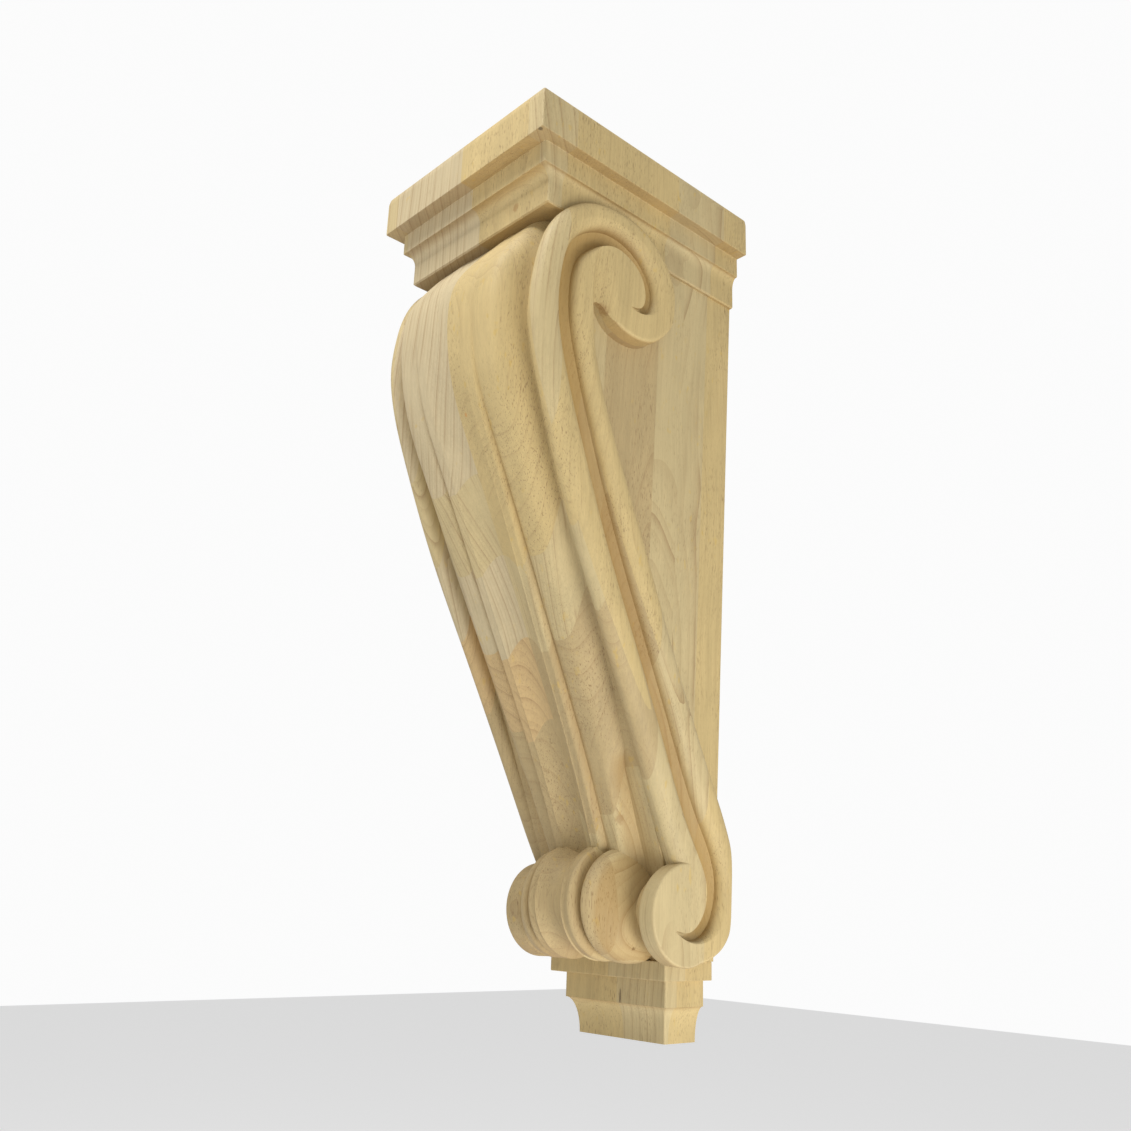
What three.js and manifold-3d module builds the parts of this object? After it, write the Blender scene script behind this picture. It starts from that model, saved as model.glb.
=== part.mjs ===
// A carved wooden corbel: a scrolled bracket that is hung on a wall and carries a shelf or a beam.
// It is one solid: a stepped cap, a tapered body with a fluted front, a roll at the foot of the
// front, an S-scroll in relief on each side, and a small stepped foot.
// X runs along the wall, Y into the wall (the front looks towards -Y), Z up. Millimetres.
import * as THREE from 'three';
import Module from 'manifold-3d';
import { mergeVertices } from 'three/addons/utils/BufferGeometryUtils.js';

const wasm = await Module();
wasm.setup();

// Whole corbel
const corbelHeight = 558.8;
const capWidth = 168;
const capReach = 196.4;

// Cap, from the top down: a slab, a fillet set back under it, a cove and a plain frieze
const slabHeight = 29.5;
const slabEaseIn = 1.6;
const slabEaseDown = 5;
const filletHeight = 14.7;
const filletSetbackSide = 8.4;
const filletSetbackFront = 10.3;
const quirk = 1;
const coveHeight = 9;
const friezeHeight = 14.4;
const friezeSetbackSide = 12.8;
const friezeSetbackFront = 17.9;

// Foot, from the bottom up: a cove, a square block and a wider plinth that the roll sits on
const footCoveHeight = 21;
const footBlockHeight = 15.4;
const footPlinthHeight = 11;
const footBottomWidth = 73.9;
const footBottomReach = 27.5;
const footBlockWidth = 87.2;
const footBlockReach = 34.4;
const footPlinthWidth = 100.9;
const footPlinthReach = 42.3;

// Body: its side panels draw in towards the foot
const bodyWidthTop = 136.9;
const bodyWidthBottom = 103.4;
const bellyReach = 200;
const bedding = 6;
const cutterLift = 0.3;

// Scroll in relief on each side panel
const scrollRelief = 13.4;
const scrollGrooveDepth = 10.4;
const grooveShoulderShare = 0.75;
const noseCrownIn = 10;
const noseShoulder = 7.5;
const noseFlankIn = 8;
const noseUnderside = 7;
const hollowRadius = 9;
const hollowDepth = 7;

// Disc at the heart of each lower volute
const discReach = 69.8;
const discDepth = 61;
const discHeight = 60;
const discRise = 27;
const discRim = 2.6;
const discWall = 9;
const discFlankIn = 8;

// Front carving: a flute between two ridges, a V groove outside each, then a broad lobe that
// falls into the valley beside the scroll
const ridgeHalfSpan = 17;
const ridgeHalfSpanTop = 26;
const fluteDepth = 6.6;
const veeWidth = 3.3;
const veeDepth = 4.8;
const lobeRise = 9;
const lobeSetback = 4.4;
const valleyBehindScroll = 9;
const valleyInsidePanel = 5;
const valleyGougeRadius = 9;
const valleyGougeDepth = 12;
const valleyGougeDrift = 2.5;
const frontStock = 24;
const frontUnderScroll = 2;

// Roll at the foot of the front
const rollRadius = 34.3;
const rollReach = 92.4;
const rollRise = 32.6;
const rollDrawBack = 18;
const rollEndDrop = 4;
const rollVeeWidth = 5;
const rollVeeDepth = 7.5;
const rollLobeSetback = 1;
const rollValleyDepth = 15.4;

// How finely the curves are cut into facets
const stepsPerSpan = 2;
const frontRows = 24;
const coveSteps = 5;
const rollSides = 28;
const discSides = 28;
const gougeSides = 12;
const crownLevels = [0, 0.4, 0.7, 1];
const rimLevels = [0, 0.5, 1];
const flankLevels = [0.5, 1];

const capHeight = slabHeight + filletHeight + coveHeight + friezeHeight;
const footHeight = footCoveHeight + footBlockHeight + footPlinthHeight;
const capUnderside = corbelHeight - capHeight;
const carvedRise = capUnderside - footHeight;
const wallMountHeight = corbelHeight / 2;

// A share of the belly's reach, and a share of the carved height, as places in millimetres
const outAt = (share) => -share * bellyReach;
const upAt = (share) => footHeight + share * carvedRise;
const mix = (a, b, t) => a + (b - a) * t;
const clamp01 = (t) => Math.min(Math.max(t, 0), 1);

function bodyHalfWidth(z) {
  return mix(bodyWidthBottom, bodyWidthTop, (z - footHeight) / carvedRise) / 2;
}

// The curve that a thin lath takes when it is bent past the given rows (a natural cubic spline),
// with each row at its own knot. Returns a function from knot value to row.
function lath(knots, rows) {
  const last = rows.length - 1;
  const gap = (i) => knots[i + 1] - knots[i];
  const bends = rows[0].map((_, column) => {
    const slope = (i) => (rows[i + 1][column] - rows[i][column]) / gap(i);
    const upper = new Array(last + 1).fill(0);
    const right = new Array(last + 1).fill(0);
    for (let i = 1; i < last; i += 1) {
      const pivot = 2 * (gap(i - 1) + gap(i)) - gap(i - 1) * upper[i - 1];
      upper[i] = gap(i) / pivot;
      right[i] = (6 * (slope(i) - slope(i - 1)) - gap(i - 1) * right[i - 1]) / pivot;
    }
    const bend = new Array(last + 1).fill(0);
    for (let i = last - 1; i > 0; i -= 1) {
      bend[i] = right[i] - upper[i] * bend[i + 1];
    }
    return bend;
  });
  return (at) => {
    let i = 0;
    while (i < last - 1 && at > knots[i + 1]) {
      i += 1;
    }
    const h = gap(i);
    const a = (knots[i + 1] - at) / h;
    const b = (at - knots[i]) / h;
    return rows[i].map((value, column) => a * value + b * rows[i + 1][column]
      + ((a ** 3 - a) * bends[column][i] + (b ** 3 - b) * bends[column][i + 1]) * h * h / 6);
  };
}

// Rows along a lath whose knots are the distances from row to row over the first columns
function alongLath(rows, placeColumns, steps, closed) {
  const lead = closed ? 3 : 0;
  const wrap = (i) => rows[(i + rows.length) % rows.length];
  const count = rows.length + 2 * lead + (closed ? 1 : 0);
  const bent = Array.from({ length: count }, (_, i) => wrap(i - lead));
  const knots = [0];
  for (let i = 1; i < count; i += 1) {
    const place = bent[i].slice(0, placeColumns).map((value, k) => value - bent[i - 1][k]);
    knots.push(knots[i - 1] + Math.hypot(...place));
  }
  const curve = lath(knots, bent);
  const points = [];
  for (let i = lead; i < count - 1 - lead; i += 1) {
    for (let k = 0; k < steps; k += 1) {
      points.push(curve(mix(knots[i], knots[i + 1], k / steps)));
    }
  }
  if (!closed) {
    points.push(curve(knots[count - 1]));
  }
  return points;
}

// A curve of reach against height, from rows of shares [up, out]
function reachCurve(rows) {
  const curve = lath(rows.map((row) => upAt(row[0])), rows.map((row) => [outAt(row[1])]));
  return (z) => curve(z)[0];
}

// A closed body through a row of rings, each a closed loop of the same number of points,
// capped at both ends
function bodyThroughRings(rings) {
  const size = rings[0].length;
  const triangles = [];
  for (let r = 0; r < rings.length - 1; r += 1) {
    for (let i = 0; i < size; i += 1) {
      const a = r * size + i;
      const b = r * size + (i + 1) % size;
      triangles.push([a, b, a + size], [b, b + size, a + size]);
    }
  }
  const lastStart = (rings.length - 1) * size;
  endCap(rings[0]).forEach(([a, b, c]) => triangles.push([c, b, a]));
  endCap(rings[rings.length - 1]).forEach((tri) => triangles.push(tri.map((k) => k + lastStart)));
  return solidFrom(rings.flat(), triangles);
}

// Triangles that fill a nearly flat loop, wound the way the loop runs
function endCap(ring) {
  const views = [[0, 1], [1, 2], [2, 0]];
  const areas = views.map((view) => Math.abs(loopArea(ring, view)));
  const view = views[areas.indexOf(Math.max(...areas))];
  const loop = ring.map((p) => new THREE.Vector2(p[view[0]], p[view[1]]));
  const facing = loopArea(ring, view);
  return THREE.ShapeUtils.triangulateShape(loop, []).map((tri) => {
    const sameWay = loopArea(tri.map((k) => ring[k]), view) * facing > 0;
    return sameWay ? tri : tri.reverse();
  });
}

// Area of a loop seen along the axis that the view leaves out, negative where it runs clockwise
function loopArea(ring, [i, j]) {
  return ring.reduce((sum, p, k) => {
    const q = ring[(k + 1) % ring.length];
    return sum + (p[i] * q[j] - q[i] * p[j]) / 2;
  }, 0);
}

function solidFrom(points, triangles) {
  const geometry = new THREE.BufferGeometry();
  geometry.setAttribute('position', new THREE.Float32BufferAttribute(points.flat(), 3));
  geometry.setIndex(triangles.flat());
  const merged = mergeVertices(geometry, 1e-4);
  const place = merged.getAttribute('position').array;
  let index = Array.from(merged.getIndex().array);
  const whole = (t) => new Set([index[t], index[t + 1], index[t + 2]]).size === 3;
  index = index.filter((_, k) => whole(k - k % 3));
  if (signedVolume(place, index) < 0) {
    index.reverse();
  }
  return new wasm.Manifold(new wasm.Mesh({
    numProp: 3,
    vertProperties: Float32Array.from(place),
    triVerts: Uint32Array.from(index),
  }));
}

function signedVolume(place, index) {
  const corner = (k) => new THREE.Vector3().fromArray(place, 3 * index[k]);
  let volume = 0;
  for (let t = 0; t < index.length; t += 3) {
    volume += corner(t).dot(corner(t + 1).cross(corner(t + 2))) / 6;
  }
  return volume;
}

// A stack of rectangles with their backs on the wall, from rows [height, width, reach]
function moulding(rows) {
  return bodyThroughRings(rows.map(([z, width, reach]) => [
    [-width / 2, 0, z], [-width / 2, -reach, z], [width / 2, -reach, z], [width / 2, 0, z],
  ]));
}

// Rows of a cove that widens upwards from [z0, width0, reach0], as a quarter of an ellipse
function coveRows(z0, width0, reach0, z1, width1, reach1) {
  return Array.from({ length: coveSteps + 1 }, (_, i) => {
    const angle = (i / coveSteps) * Math.PI / 2;
    const flare = 1 - Math.cos(angle);
    return [mix(z0, z1, Math.sin(angle)), mix(width0, width1, flare), mix(reach0, reach1, flare)];
  });
}

function cap() {
  const filletWidth = capWidth - 2 * filletSetbackSide;
  const filletReach = capReach - filletSetbackFront;
  const friezeWidth = capWidth - 2 * friezeSetbackSide;
  const friezeReach = capReach - friezeSetbackFront;
  const coveFoot = capUnderside + friezeHeight;
  const coveTop = coveFoot + coveHeight;
  const filletTop = coveTop + filletHeight;
  return moulding([
    [capUnderside, friezeWidth, friezeReach],
    ...coveRows(coveFoot, friezeWidth, friezeReach,
      coveTop, filletWidth - 2 * quirk, filletReach - quirk),
    [coveTop, filletWidth, filletReach],
    [filletTop, filletWidth, filletReach],
    [filletTop, capWidth, capReach],
    [corbelHeight - slabEaseDown, capWidth, capReach],
    [corbelHeight - slabEaseDown / 4, capWidth - slabEaseIn, capReach - slabEaseIn / 2],
    [corbelHeight, capWidth - 2 * slabEaseIn, capReach - slabEaseIn],
  ]);
}

function foot() {
  const blockFoot = footCoveHeight;
  const plinthFoot = blockFoot + footBlockHeight;
  const insideRoll = footHeight + bedding;
  return moulding([
    ...coveRows(0, footBottomWidth, footBottomReach, blockFoot, footBlockWidth, footBlockReach),
    [plinthFoot, footBlockWidth, footBlockReach],
    [plinthFoot, footPlinthWidth, footPlinthReach],
    [insideRoll, footPlinthWidth, footPlinthReach],
  ]);
}

// Front line of the scroll, seen from the side, as shares [up, out]
const scrollFront = reachCurve([
  [0.06, 0.20], [0.141, 0.258], [0.434, 0.588], [0.704, 0.865],
  [0.790, 0.927], [0.844, 0.943], [0.896, 0.932], [0.948, 0.902], [1.0, 0.835],
]);

// Line of the two ridges on the front, seen from the side, as shares [up, out]
const ridgeFront = reachCurve([
  [0.091, 0.300], [0.209, 0.401], [0.434, 0.634], [0.659, 0.875], [0.749, 0.963],
  [0.817, 0.995], [0.873, 1.0], [0.925, 0.971], [0.963, 0.915], [1.0, 0.850], [1.02, 0.81],
]);

// How the carving across the front changes with height, as rows of shares
// [up, ridge spread, flute depth, V groove depth, lobe rise, lobe setback]
const frontShape = [
  [0.00, 0.00, 0.94, 1.00, 0.67, 1.00],
  [0.21, 0.27, 1.00, 1.00, 0.67, 1.00],
  [0.40, 0.52, 0.91, 0.96, 0.78, 0.64],
  [0.57, 0.75, 0.76, 0.83, 0.89, 0.36],
  [0.70, 0.87, 0.55, 0.54, 1.00, 0.20],
  [0.80, 0.93, 0.30, 0.21, 1.00, 0.14],
  [0.92, 1.00, 0.18, 0.12, 1.00, 0.11],
];

// The lengths that frontShape gives at a height
function frontShapeAt(z) {
  const up = (z - footHeight) / carvedRise;
  const last = frontShape.length - 1;
  const clamped = Math.min(Math.max(up, frontShape[0][0]), frontShape[last][0]);
  const [, spread, flute, vee, rise, setback] = lath(frontShape.map((row) => row[0]), frontShape)(clamped);
  return {
    ridge: mix(ridgeHalfSpan, ridgeHalfSpanTop, spread),
    flute: flute * fluteDepth,
    veeWidth,
    vee: vee * veeDepth,
    rise: rise * lobeRise,
    setback: setback * lobeSetback,
  };
}

// Places across one half of the front and their depths behind the ridge line: down from the flute's
// middle to the ridge, into the V groove, up the lobe, and over it into the valley
function frontProfile(shape, valley, valleyDepth) {
  const groove = shape.ridge + shape.veeWidth;
  const crest = groove + shape.rise;
  const across = [];
  for (let t = 0; t < 1; t += 1 / 5) {
    across.push([t * shape.ridge, shape.flute * Math.cos(t * Math.PI / 2) ** 2]);
  }
  for (let t = 0; t < 1; t += 1 / 2) {
    across.push([mix(shape.ridge, groove, t), shape.vee * t * t]);
  }
  for (let t = 0; t < 1; t += 1 / 2) {
    across.push([mix(groove, crest, t), mix(shape.setback, shape.vee, (1 - t) ** 3)]);
  }
  for (let t = 0; t < 1.01; t += 1 / 6) {
    const fall = (1 - Math.cos(Math.PI * t * t)) / 2;
    across.push([mix(crest, valley, t), mix(shape.setback, valleyDepth, fall)]);
  }
  return across;
}

// The carved front between the scrolls, from inside the roll to inside the cap
function fluteAndLobes() {
  const from = upAt(0.091);
  const to = capUnderside + bedding;
  const rings = [];
  for (let i = 0; i <= frontRows; i += 1) {
    const z = mix(from, to, i / frontRows);
    const panel = bodyHalfWidth(z);
    const valleyDepth = scrollFront(z) + valleyBehindScroll - ridgeFront(z);
    const half = frontProfile(frontShapeAt(z), panel - valleyInsidePanel, valleyDepth);
    const edge = panel + frontUnderScroll;
    half.push([edge, valleyDepth]);
    const right = half.map(([x, depth]) => [x, ridgeFront(z) + depth, z]);
    const left = right.slice(1).reverse().map(([x, y]) => [-x, y, z]);
    const back = Math.min(scrollFront(z) + frontStock, -bedding);
    rings.push([...left, ...right, [edge, back, z], [-edge, back, z]]);
  }
  return bodyThroughRings(rings);
}

// The roll: the same flute, ridges and lobes carried round a level bar
function roll() {
  const discX = bodyHalfWidth(upAt(0.065));
  const shape = {
    ...frontShapeAt(footHeight), veeWidth: rollVeeWidth, vee: rollVeeDepth, setback: rollLobeSetback,
  };
  const half = frontProfile(shape, discX - valleyInsidePanel, rollValleyDepth);
  half.push([discX + frontUnderScroll, rollValleyDepth]);
  const stations = [...half.slice(1).reverse().map(([x, depth]) => [-x, depth]), ...half];
  return bodyThroughRings(stations.map(([x, depth]) => {
    const outside = clamp01((Math.abs(x) - ridgeHalfSpan) / (discX - ridgeHalfSpan));
    const centreY = -rollReach + rollRadius + rollDrawBack * outside ** 1.5;
    const centreZ = footHeight + rollRise - rollEndDrop * outside;
    const radius = rollRadius - depth;
    return Array.from({ length: rollSides }, (_, k) => {
      const angle = (k / rollSides) * 2 * Math.PI;
      return [x, centreY + radius * Math.cos(angle), centreZ + radius * Math.sin(angle)];
    });
  }));
}

// The plain block behind the carving, with the side panels as its faces
function core() {
  const side = [
    [0, 0], [0.20, 0], [0.25, 0.05], [0.22, 0.10],
    [0.655, 0.57], [0.845, 0.79], [0.855, 0.89], [0.75, 1.01], [0, 1.01],
  ];
  return bodyThroughRings([-1, 1].map((hand) => side.map(([out, up]) => [
    hand * bodyHalfWidth(upAt(up)), outAt(out), upAt(up),
  ])));
}

// Outline of the scroll in side view, up the front, over the upper volute and down the back to
// the lower one, as rows of shares [out, up, crown, flank]: crown and flank say how much of the
// nose's rounding the edge has there, on its face and on its hidden side
const scrollOutline = [
  [0.210, 0.062, 0.8, 0], [0.228, 0.114, 1, 0.3], [0.258, 0.141, 1, 0.35], [0.335, 0.209, 1, 0.5],
  [0.588, 0.434, 1, 1], [0.740, 0.569, 1, 1], [0.865, 0.704, 1, 1], [0.927, 0.790, 1, 1],
  [0.943, 0.844, 1, 1], [0.932, 0.896, 1, 1], [0.902, 0.948, 0.95, 0.75], [0.840, 0.993, 0.9, 0.25],
  [0.750, 1.022, 0.8, 0], [0.640, 1.033, 0.7, 0], [0.530, 1.028, 0.6, 0], [0.435, 1.007, 0.55, 0],
  [0.370, 0.973, 0.5, 0], [0.344, 0.930, 0.45, 0], [0.357, 0.898, 0.4, 0], [0.395, 0.874, 0.35, 0],
  [0.445, 0.855, 0.3, 0], [0.510, 0.846, 0.25, 0], [0.578, 0.848, 0.25, 0], [0.635, 0.860, 0.25, 0],
  [0.672, 0.878, 0.2, 0], [0.697, 0.876, 0.3, 0], [0.704, 0.848, 0.6, 0], [0.690, 0.810, 0.8, 0],
  [0.627, 0.729, 0.9, 0], [0.460, 0.574, 0.9, 0],
  [0.263, 0.393, 0.9, 0], [0.070, 0.231, 0.9, 0], [-0.005, 0.166, 0.9, 0], [-0.035, 0.125, 0.9, 0],
  [-0.040, 0.087, 0.8, 0], [-0.025, 0.051, 0.7, 0], [0.015, 0.022, 0.5, 0], [0.080, 0.005, 0.3, 0],
  [0.145, 0.000, 0.3, 0], [0.190, 0.017, 0.3, 0],
];

// The groove between the two beads, from its point in the upper volute to its point in the lower
// one, as rows of shares [out, up, out, up, depth, front shoulder, back shoulder]: its edge on the
// front bead, its edge on the back bead, its depth, and how much of its width each bead rounds over
const scrollGroove = [
  [0.565, 0.887, 0.560, 0.890, 0.05, 0.40, 0.04], [0.500, 0.886, 0.520, 0.895, 0.40, 0.40, 0.04],
  [0.435, 0.900, 0.502, 0.909, 0.75, 0.42, 0.04], [0.398, 0.930, 0.507, 0.930, 0.90, 0.44, 0.04],
  [0.410, 0.968, 0.535, 0.950, 1.00, 0.46, 0.04], [0.475, 1.000, 0.585, 0.963, 1.00, 0.46, 0.04],
  [0.565, 1.014, 0.640, 0.967, 1.00, 0.44, 0.05], [0.665, 1.015, 0.694, 0.958, 1.00, 0.42, 0.10],
  [0.760, 1.001, 0.733, 0.937, 1.00, 0.40, 0.19], [0.840, 0.968, 0.755, 0.911, 1.00, 0.36, 0.27],
  [0.882, 0.912, 0.757, 0.876, 1.00, 0.33, 0.31], [0.890, 0.828, 0.738, 0.832, 1.00, 0.32, 0.32],
  [0.855, 0.761, 0.700, 0.781, 1.00, 0.32, 0.32], [0.760, 0.653, 0.610, 0.675, 1.00, 0.32, 0.32],
  [0.635, 0.524, 0.485, 0.549, 1.00, 0.32, 0.32], [0.482, 0.389, 0.335, 0.414, 1.00, 0.32, 0.32],
  [0.330, 0.254, 0.185, 0.279, 1.00, 0.30, 0.32], [0.235, 0.175, 0.083, 0.197, 1.00, 0.25, 0.33],
  [0.170, 0.137, 0.020, 0.150, 1.00, 0.17, 0.34], [0.127, 0.107, -0.005, 0.100, 1.00, 0.09, 0.34],
  [0.118, 0.084, 0.010, 0.064, 1.00, 0.04, 0.34], [0.135, 0.060, 0.055, 0.035, 0.90, 0.04, 0.34],
  [0.170, 0.043, 0.125, 0.022, 0.70, 0.04, 0.36], [0.210, 0.038, 0.200, 0.026, 0.40, 0.04, 0.38],
  [0.250, 0.041, 0.253, 0.038, 0.05, 0.04, 0.40],
];
const shoulderPlaces = [0, 0.55, 0.87, 1];
const floorPlaces = [0.2, 0.5, 0.8];
const thinnest = 0.02;

const scrollFace = (z) => bodyHalfWidth(z) + scrollRelief;

// A raised plate with its face on the scroll's face, from outline rows [y, z, crown in, crown
// down, flank in]: the face rounds over by the crown, then a wall stands down to the shoulder, and
// below it the hidden side draws back by the flank
function raisedPlate(outline, shoulder, levels) {
  const normals = outline.map((_, i) => {
    const before = outline[(i + outline.length - 1) % outline.length];
    const after = outline[(i + 1) % outline.length];
    const run = Math.hypot(after[0] - before[0], after[1] - before[1]);
    return [(after[1] - before[1]) / run, -(after[0] - before[0]) / run];
  });
  const turn = loopArea(outline, [0, 1]) > 0 ? 1 : -1;
  const ringAt = (drop, inset) => outline.map((row, i) => {
    const away = inset(row) * turn;
    const z = row[1] - normals[i][1] * away;
    return [scrollFace(z) - drop(row), row[0] - normals[i][0] * away, z];
  });
  const crown = levels.map((level) => {
    const angle = level * Math.PI / 2;
    return ringAt((row) => row[3] * (1 - Math.cos(angle)), (row) => row[2] * (1 - Math.sin(angle)));
  });
  const flank = flankLevels.map((level) => {
    const angle = level * Math.PI / 2;
    return ringAt(() => shoulder + noseUnderside * Math.sin(angle),
      (row) => row[4] * (1 - Math.cos(angle)));
  });
  const seat = ringAt(() => shoulder + noseUnderside + bedding, (row) => row[4]);
  return bodyThroughRings([...crown, ...flank, seat]);
}

// Places across the groove, from 0 on the front bead to 1 on the back bead, each with its share of
// the depth: a quarter round off each bead, then a hollow floor between them
function acrossGroove(frontShoulder, backShoulder) {
  const shoulderDepth = (t) => grooveShoulderShare * (1 - Math.sqrt(1 - t * t));
  const floorWidth = 1 - frontShoulder - backShoulder;
  return [
    ...shoulderPlaces.map((t) => [frontShoulder * t, shoulderDepth(t)]),
    ...floorPlaces.map((t) => [frontShoulder + floorWidth * t,
      mix(grooveShoulderShare, 1, Math.sin(Math.PI * t))]),
    ...shoulderPlaces.slice().reverse().map((t) => [1 - backShoulder * t, shoulderDepth(t)]),
  ];
}

function scrollGrooveCutter() {
  const rows = scrollGroove.map(([outF, upF, outB, upB, ...shape]) => [
    outAt(outF), upAt(upF), outAt(outB), upAt(upB), ...shape,
  ]);
  const stations = alongLath(rows, 4, stepsPerSpan, false);
  const rings = stations.map(([yF, zF, yB, zB, depthShare, frontShoulder, backShoulder]) => {
    const across = acrossGroove(Math.max(frontShoulder, thinnest), Math.max(backShoulder, thinnest));
    const floor = across.map(([t, share]) => {
      const z = mix(zF, zB, t);
      const depth = Math.max(depthShare, thinnest) * scrollGrooveDepth * share;
      return [scrollFace(z) + cutterLift - depth, mix(yF, yB, t), z];
    });
    const lid = [[yB, zB], [yF, zF]].map(([y, z]) => [scrollFace(z) + bedding, y, z]);
    return [...floor, ...lid];
  });
  return bodyThroughRings(rings);
}

// The path of a round-nosed gouge: a tube of the given radius through centres [x, y, z]
function gougePass(centres, radius) {
  const points = centres.map((c) => new THREE.Vector3(...c));
  return bodyThroughRings(points.map((centre, i) => {
    const before = points[Math.max(i - 1, 0)];
    const after = points[Math.min(i + 1, points.length - 1)];
    const along = after.clone().sub(before).normalize();
    const across = new THREE.Vector3(1, 0, 0).cross(along).normalize();
    const over = along.clone().cross(across);
    return Array.from({ length: gougeSides }, (_, k) => {
      const angle = (k / gougeSides) * 2 * Math.PI;
      return centre.clone()
        .addScaledVector(across, radius * Math.cos(angle))
        .addScaledVector(over, radius * Math.sin(angle)).toArray();
    });
  }));
}

// The hollow where the end of the upper volute meets the back bead, deep at its foot and running
// out upwards, from rows of shares [out, up, depth]
function voluteHollow() {
  const passes = [
    [0.676, 0.80, 1], [0.672, 0.85, 0.8], [0.664, 0.89, 0.4], [0.656, 0.93, -0.05], [0.65, 0.97, -0.7],
  ];
  return gougePass(passes.map(([out, up, depth]) => [
    scrollFace(upAt(up)) - depth * hollowDepth + hollowRadius, outAt(out), upAt(up),
  ]), hollowRadius);
}

// The valley beside the foot of the lobes, which starts at a point, and deepens and moves in from
// the scroll as it comes down to the roll, from rows of shares [up, depth, drift]
function lobeValley() {
  const passes = [
    [0.38, -1, 0], [0.31, -0.3, 0], [0.25, 0.15, 0.1], [0.19, 0.5, 0.4], [0.13, 0.85, 0.8], [0.08, 1, 1],
  ];
  return gougePass(passes.map(([up, depth, drift]) => {
    const z = upAt(up);
    const floor = scrollFront(z) + valleyBehindScroll + depth * valleyGougeDepth;
    const inside = valleyGougeRadius + drift * valleyGougeDrift;
    return [bodyHalfWidth(z) - inside, floor - valleyGougeRadius, z];
  }), valleyGougeRadius);
}

function scroll() {
  const outline = scrollOutline.map(([out, up, crown, flank]) => [
    outAt(out), upAt(up), crown * noseCrownIn, crown * noseShoulder, flank * noseFlankIn,
  ]);
  const band = raisedPlate(alongLath(outline, 2, stepsPerSpan, true), noseShoulder, crownLevels);
  const disc = raisedPlate(Array.from({ length: discSides }, (_, k) => {
    const angle = (k / discSides) * 2 * Math.PI;
    return [
      -discReach + (discDepth / 2) * (1 - Math.cos(angle)),
      footHeight + discRise + (discHeight / 2) * Math.sin(angle),
      discRim, discRim, discFlankIn,
    ];
  }), discWall, rimLevels);
  return band.add(disc).subtract(scrollGrooveCutter()).subtract(voluteHollow());
}

// The same shape on the other side
function mirrored(solid) {
  return solid.mirror([1, 0, 0]);
}

// What lies behind the wall's face, to be cut away
function wall() {
  const far = corbelHeight;
  return moulding([[-far, 2 * far, -far], [2 * far, 2 * far, -far]]);
}

function meshFrom(solid, name, material) {
  const { vertProperties, triVerts } = solid.getMesh();
  const geometry = new THREE.BufferGeometry();
  geometry.setAttribute('position', new THREE.BufferAttribute(vertProperties, 3));
  geometry.setIndex(new THREE.BufferAttribute(triVerts, 1));
  geometry.computeVertexNormals();
  const mesh = new THREE.Mesh(geometry, material);
  mesh.name = name;
  return mesh;
}

const rightScroll = scroll();
const rightValley = lobeValley();
const carvedFront = fluteAndLobes().subtract(rightValley).subtract(mirrored(rightValley));
const corbelSolid = core()
  .add(carvedFront)
  .add(roll())
  .add(rightScroll)
  .add(mirrored(rightScroll))
  .add(cap())
  .add(foot())
  .subtract(wall());

const wood = new THREE.MeshStandardMaterial({ color: 0xcdb88a, roughness: 0.72, metalness: 0 });
const corbel = meshFrom(corbelSolid, 'corbel', wood);
corbel.position.z = -wallMountHeight;

const part = new THREE.Group();
part.add(corbel);
export default part;
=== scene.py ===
# %% [markdown]
# A carved wood corbel, dressed in Blender.
#
# The real corbel is one block of glued-up staves of pale hardwood, carved all over, sanded and
# left without a finish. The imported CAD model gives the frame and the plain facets. This lesson
# works out the same forms finely with numpy, joins them into one closed mesh, and gives the mesh
# a wood that is worked out in the shader. Lengths are in millimetres up from the corbel's
# underside until the mesh is made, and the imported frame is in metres.

import math

import bmesh
import bpy
import numpy as np
from mathutils import Matrix, Vector


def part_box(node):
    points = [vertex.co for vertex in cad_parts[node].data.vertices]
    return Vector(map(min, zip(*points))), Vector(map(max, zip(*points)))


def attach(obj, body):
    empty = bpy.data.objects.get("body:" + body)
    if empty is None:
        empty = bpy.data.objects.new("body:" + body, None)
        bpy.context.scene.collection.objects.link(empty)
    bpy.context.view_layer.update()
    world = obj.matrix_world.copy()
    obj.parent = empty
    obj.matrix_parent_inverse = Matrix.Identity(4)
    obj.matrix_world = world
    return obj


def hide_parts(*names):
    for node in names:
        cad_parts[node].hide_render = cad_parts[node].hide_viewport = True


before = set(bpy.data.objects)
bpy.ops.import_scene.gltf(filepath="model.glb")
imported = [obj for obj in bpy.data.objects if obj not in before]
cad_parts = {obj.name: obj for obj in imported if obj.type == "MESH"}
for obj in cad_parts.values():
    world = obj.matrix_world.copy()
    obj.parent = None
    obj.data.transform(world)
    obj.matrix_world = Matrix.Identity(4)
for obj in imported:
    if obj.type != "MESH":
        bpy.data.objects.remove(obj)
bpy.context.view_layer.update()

# %% [markdown]
# Sizes. These are the corbel's driving sizes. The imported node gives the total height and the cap's
# width, so the mesh made here and the CAD solid can't drift apart.

# %% Named sizes
node_low, node_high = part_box("corbel")
corbel_height = 1000 * (node_high.z - node_low.z)
cap_width = 1000 * (node_high.x - node_low.x)
cap_reach = 196.4

# the cap, from the slab down
slab_height = 29.5
fillet_height = 14.7
fillet_setback_side = 8.4
fillet_setback_front = 10.3
cove_quirk = 1.0
cap_cove_height = 9.0
frieze_height = 14.4
frieze_setback_side = 12.8
frieze_setback_front = 17.9

# the foot, from the bottom up; each pair is a width and a reach
foot_cove_height = 21.0
foot_block_height = 15.4
foot_plinth_height = 11.0
foot_bottom = (73.9, 27.5)
foot_block = (87.2, 34.4)
foot_plinth = (100.9, 42.3)

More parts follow.
